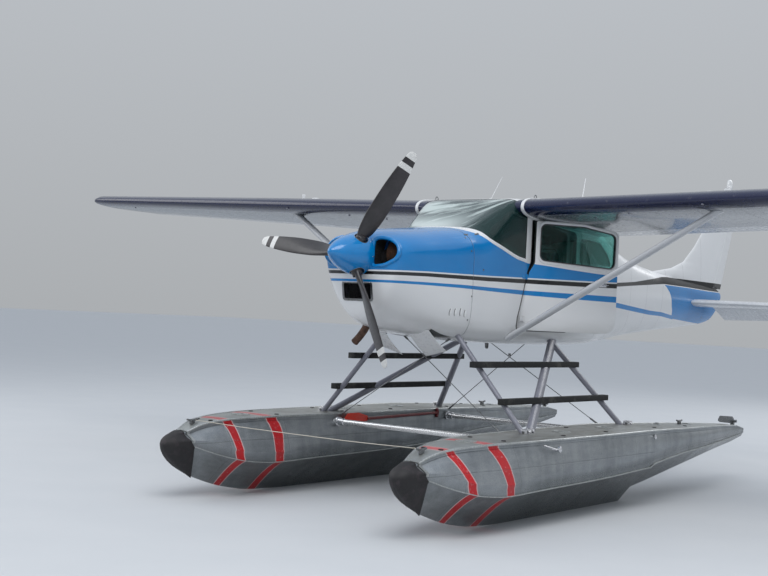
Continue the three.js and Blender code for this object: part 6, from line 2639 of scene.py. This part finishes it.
    def wing_parts(self) -> None:
        """Aerials on the roof, lifting rings, filler caps, tie-downs and lamps."""
        whip = [Bench.sweep("aerial", ((0, 1.0, .652), (-.001, 1.06, .730), (-.003, 1.2, .905)),
                            oval(.007, .007, 10), False, None, (1, .8, .45)),
                Bench.lathe("foot", ((0, .016), (.010, .013), (.020, .006)), (0, .995, .654),
                            (0, .3, 1), 20),
                Bench.sweep("aerial", ((.88, 1.15, .640), (.86, 1.24, .700), (.70, 1.58, .915)),
                            oval(.009, .009, 10), False, None, (1, .85, .5)),
                Bench.lathe("foot", ((-.02, .018), (.008, .015), (.020, .006)),
                            (.88, 1.148, .650), (0, .3, 1), 20)]
        dress(Bench.join("roof_aerials", whip), PAINT_WHITE, angle=60)
        bow = [(math.cos(a), math.sin(a)) for a in np.linspace(0, math.pi, 16)]
        loop = Bench.rod("ring", [(.555, .90 + .022 * c, .655 + .030 * s) for c, s in bow],
                         .0045, 10)
        caps = [Bench.lathe(name, profile, (x, 1.02, max(p[2] for p in WING.ring(at)) - sunk),
                            (lean, 0, 1), sides)
                for name, profile, x, at, sunk, lean, sides in (
                    ("cap", ((0, .045), (.010, .045), (.016, .038), (.019, .022),
                             (.0195, .001)), 2.209, 2.20, .003, .02, 28),
                    ("vent", ((0, .014), (.030, .014), (.040, .020), (.052, .018),
                              (.056, .008), (.0565, .001)), 2.378, 2.38, .004, 0, 20))]
        under = [Bench.block("hook", (1.168, .905, .478), (1.182, .950, .515), .003, 2),
                 Bench.rod("hook", ((1.175, .925, .482), (1.175, .915, .472),
                                    (1.175, .935, .466)), .005, 10),
                 Bench.lathe("stub", ((0, .016), (.05, .014), (.062, .008), (.063, .001)),
                             (1.56, .804, .555), (0, -.1, -1), 18),
                 Bench.rod("tube", ((2.29, .80, .600), (2.29, .78, .566), (2.29, .66, .560)),
                           .0065, 12),
                 Bench.rod("ring", [(4.861, .88 + .018 * c, .640 - .026 * s) for c, s in bow],
                           .004, 10)]
        self.pair("lifting_ring", [loop], STEEL, "bright_metal", 60)
        self.pair("tank_caps", caps, PAINT_WHITE, "paint_white", 50)
        self.pair("under_wing_parts", under, PAINT_GREY, "paint_grey", 50)
        lamp = Bench.lathe("lamp", ((-.01, .022), (.012, .021), (.030, .015), (.040, .004),
                                    (.0405, .0005)), (5.472, 1.02, .672), (1, 0, 0), 24)
        self.pair("wing_tip_lamp", [lamp], GASKET, "glass", 60)
        beacon = Bench.lathe("tail_lamp", ((-.004, .016), (.010, .016), (.022, .010),
                                           (.025, .001)), (0, 7.262, 1.365), (0, 1, .45), 20)
        dress(beacon, PAINT_WHITE, "rudder_body", angle=60)
        mast = [Bench.lathe("drain", ((0, .020), (.055, .016), (.066, .010), (.067, .001)),
                            (0, 1.06, -.700), (0, .05, -1), 20),
                Bench.block("step", (-.04, 1.01, -.712), (.04, 1.11, -.702), .003, 2)]
        dress(Bench.join("belly_fitting", mast), STEEL, angle=50)

    def paddle(self) -> None:
        """Paddle strapped inside the starboard float: blade, shaft and grip."""
        x = -.842
        outline = rounded(((-.010, -1.470, .02), (.040, -1.430, .03), (.200, -1.428, .03),
                           (.335, -1.462, .02), (.360, -1.490, .02), (.330, -1.512, .02),
                           (.060, -1.528, .03), (-.006, -1.512, .02)))
        blade = Bench.prism("paddle_blade", outline, Along.X, x - .005, x + .005)
        dress(blade, PAINT_ORANGE, stands_for=("paddle",), bevel=.003)
        shaft = Bench.rod("paddle_shaft", ((x, .33, -1.488), (x, .9, -1.478), (x, 1.50, -1.468)),
                          .0145, 20)
        grip = Bench.rod("grip", ((x, 1.50, -1.510), (x, 1.515, -1.468), (x, 1.50, -1.426)),
                         .016, 16, False, 10)
        dress(Bench.join("paddle_shaft_and_grip", [shaft, grip]), PAINT_RED,
              stands_for=("paddle",), angle=50)

    def bow_line(self) -> None:
        """Taut line between the two bow cleats."""
        dress(Bench.rod("bow_line_between_floats", (
            (-1.150, -1.640, -1.462), (-.4, -1.645, -1.472), (.4, -1.65, -1.472),
            (1.150, -1.640, -1.462)), .003, 8, False, 40), ROPE)


@dataclass
class Studio:
    """Floor, lights and the camera at the photograph's viewing angle."""

    eye: Point = (6.60402, -11.99917, 1.63789)
    right: Point = (.79770184, .60087487, .05119736)
    up: Point = (-.02884571, -.04678129, .99848858)
    lens: float = 60.007
    # name, place, aim, size and power of each soft lamp
    lamps: tuple = (("sky lamp", (5, -9, 12), (0, 0, 1.5), 9, 900),
                    ("fill lamp", (-11, -7, 8), (0, 0, 1.5), 8, 380),
                    ("back lamp", (2, 14, 10), (0, 2, 1.5), 9, 500))

    def build(self) -> None:
        """Make all of it."""
        self.camera()
        self.floor()
        self.lights()

    def camera(self) -> None:
        """Camera with the photograph's lens."""
        bpy.ops.object.camera_add(location=self.eye)
        eye = bpy.context.object
        eye.name = "photo camera"
        x, y = Vector(self.right).normalized(), Vector(self.up).normalized()
        z = x.cross(y).normalized()
        turn = Matrix((x, y, z)).transposed()
        eye.rotation_mode = "QUATERNION"
        eye.rotation_quaternion = turn.to_quaternion()
        eye.data.lens, eye.data.sensor_width = self.lens, 36.0
        eye.data.sensor_fit = "HORIZONTAL"
        eye.data.clip_end = 400
        bpy.context.scene.camera = eye

    def floor(self) -> None:
        """Plain pale floor under everything."""
        Bench.hold(None)
        bpy.ops.mesh.primitive_grid_add(x_subdivisions=2, y_subdivisions=2, size=240)
        floor = bpy.context.object
        floor.name = "studio floor"
        tree = Tree("pale floor")
        spot = tree.node("ShaderNodeTexCoord", out="Object")
        noise = tree.node("ShaderNodeTexNoise", {}, {"Vector": spot, "Scale": 1.4, "Detail": 3.0})
        floor.data.materials.append(tree.finish(
            Base_Color=tree.mix(noise, tone(196, 199, 202), tone(203, 205, 207)),
            Roughness=.7))

    def lights(self) -> None:
        """Bright even sky and large soft lamps."""
        world = bpy.data.worlds.new("soft sky")
        bpy.context.scene.world = world
        world.use_nodes = True
        nodes, links = world.node_tree.nodes, world.node_tree.links
        nodes.clear()
        out, back = nodes.new("ShaderNodeOutputWorld"), nodes.new("ShaderNodeBackground")
        spot, apart = nodes.new("ShaderNodeTexCoord"), nodes.new("ShaderNodeSeparateXYZ")
        ramp, power = nodes.new("ShaderNodeValToRGB"), nodes.new("ShaderNodeMapRange")
        for key, value in (("From Min", -.05), ("From Max", .9), ("To Min", .54), ("To Max", 1.0)):
            power.inputs[key].default_value = value
        ramp.color_ramp.elements[0].color = (*tone(222, 226, 230), 1)
        ramp.color_ramp.elements[1].color = (*tone(214, 223, 236), 1)
        links.new(spot.outputs["Generated"], apart.inputs[0])
        links.new(apart.outputs[2], ramp.inputs[0])
        links.new(apart.outputs[2], power.inputs[0])
        links.new(ramp.outputs[0], back.inputs["Color"])
        links.new(power.outputs[0], back.inputs["Strength"])
        links.new(back.outputs[0], out.inputs[0])
        for name, place, goal, size, watts in self.lamps:
            bpy.ops.object.light_add(type="AREA", location=place)
            lamp = bpy.context.object
            lamp.name = name
            lamp.data.energy, lamp.data.size = watts, size
            lamp.rotation_mode = "QUATERNION"
            lamp.rotation_quaternion = (Vector(goal) - Vector(place)).to_track_quat("-Z", "Y")
        bpy.context.scene.view_settings.view_transform = "Standard"


def main() -> None:
    """Build every sub-assembly in order and report the piece counts."""
    logging.basicConfig(level=logging.INFO, format="%(message)s")
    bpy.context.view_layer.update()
    for part in (Studio(), Cabin(), Cowling(), Wing(), Tail(), Propeller(), FLOATS,
                 Interior(), Fittings()):
        before = len(bpy.data.objects)
        part.build()
        LOG.info("%s built with %d objects", type(part).__name__, len(bpy.data.objects) - before)


if __name__ == "__main__":
    main()
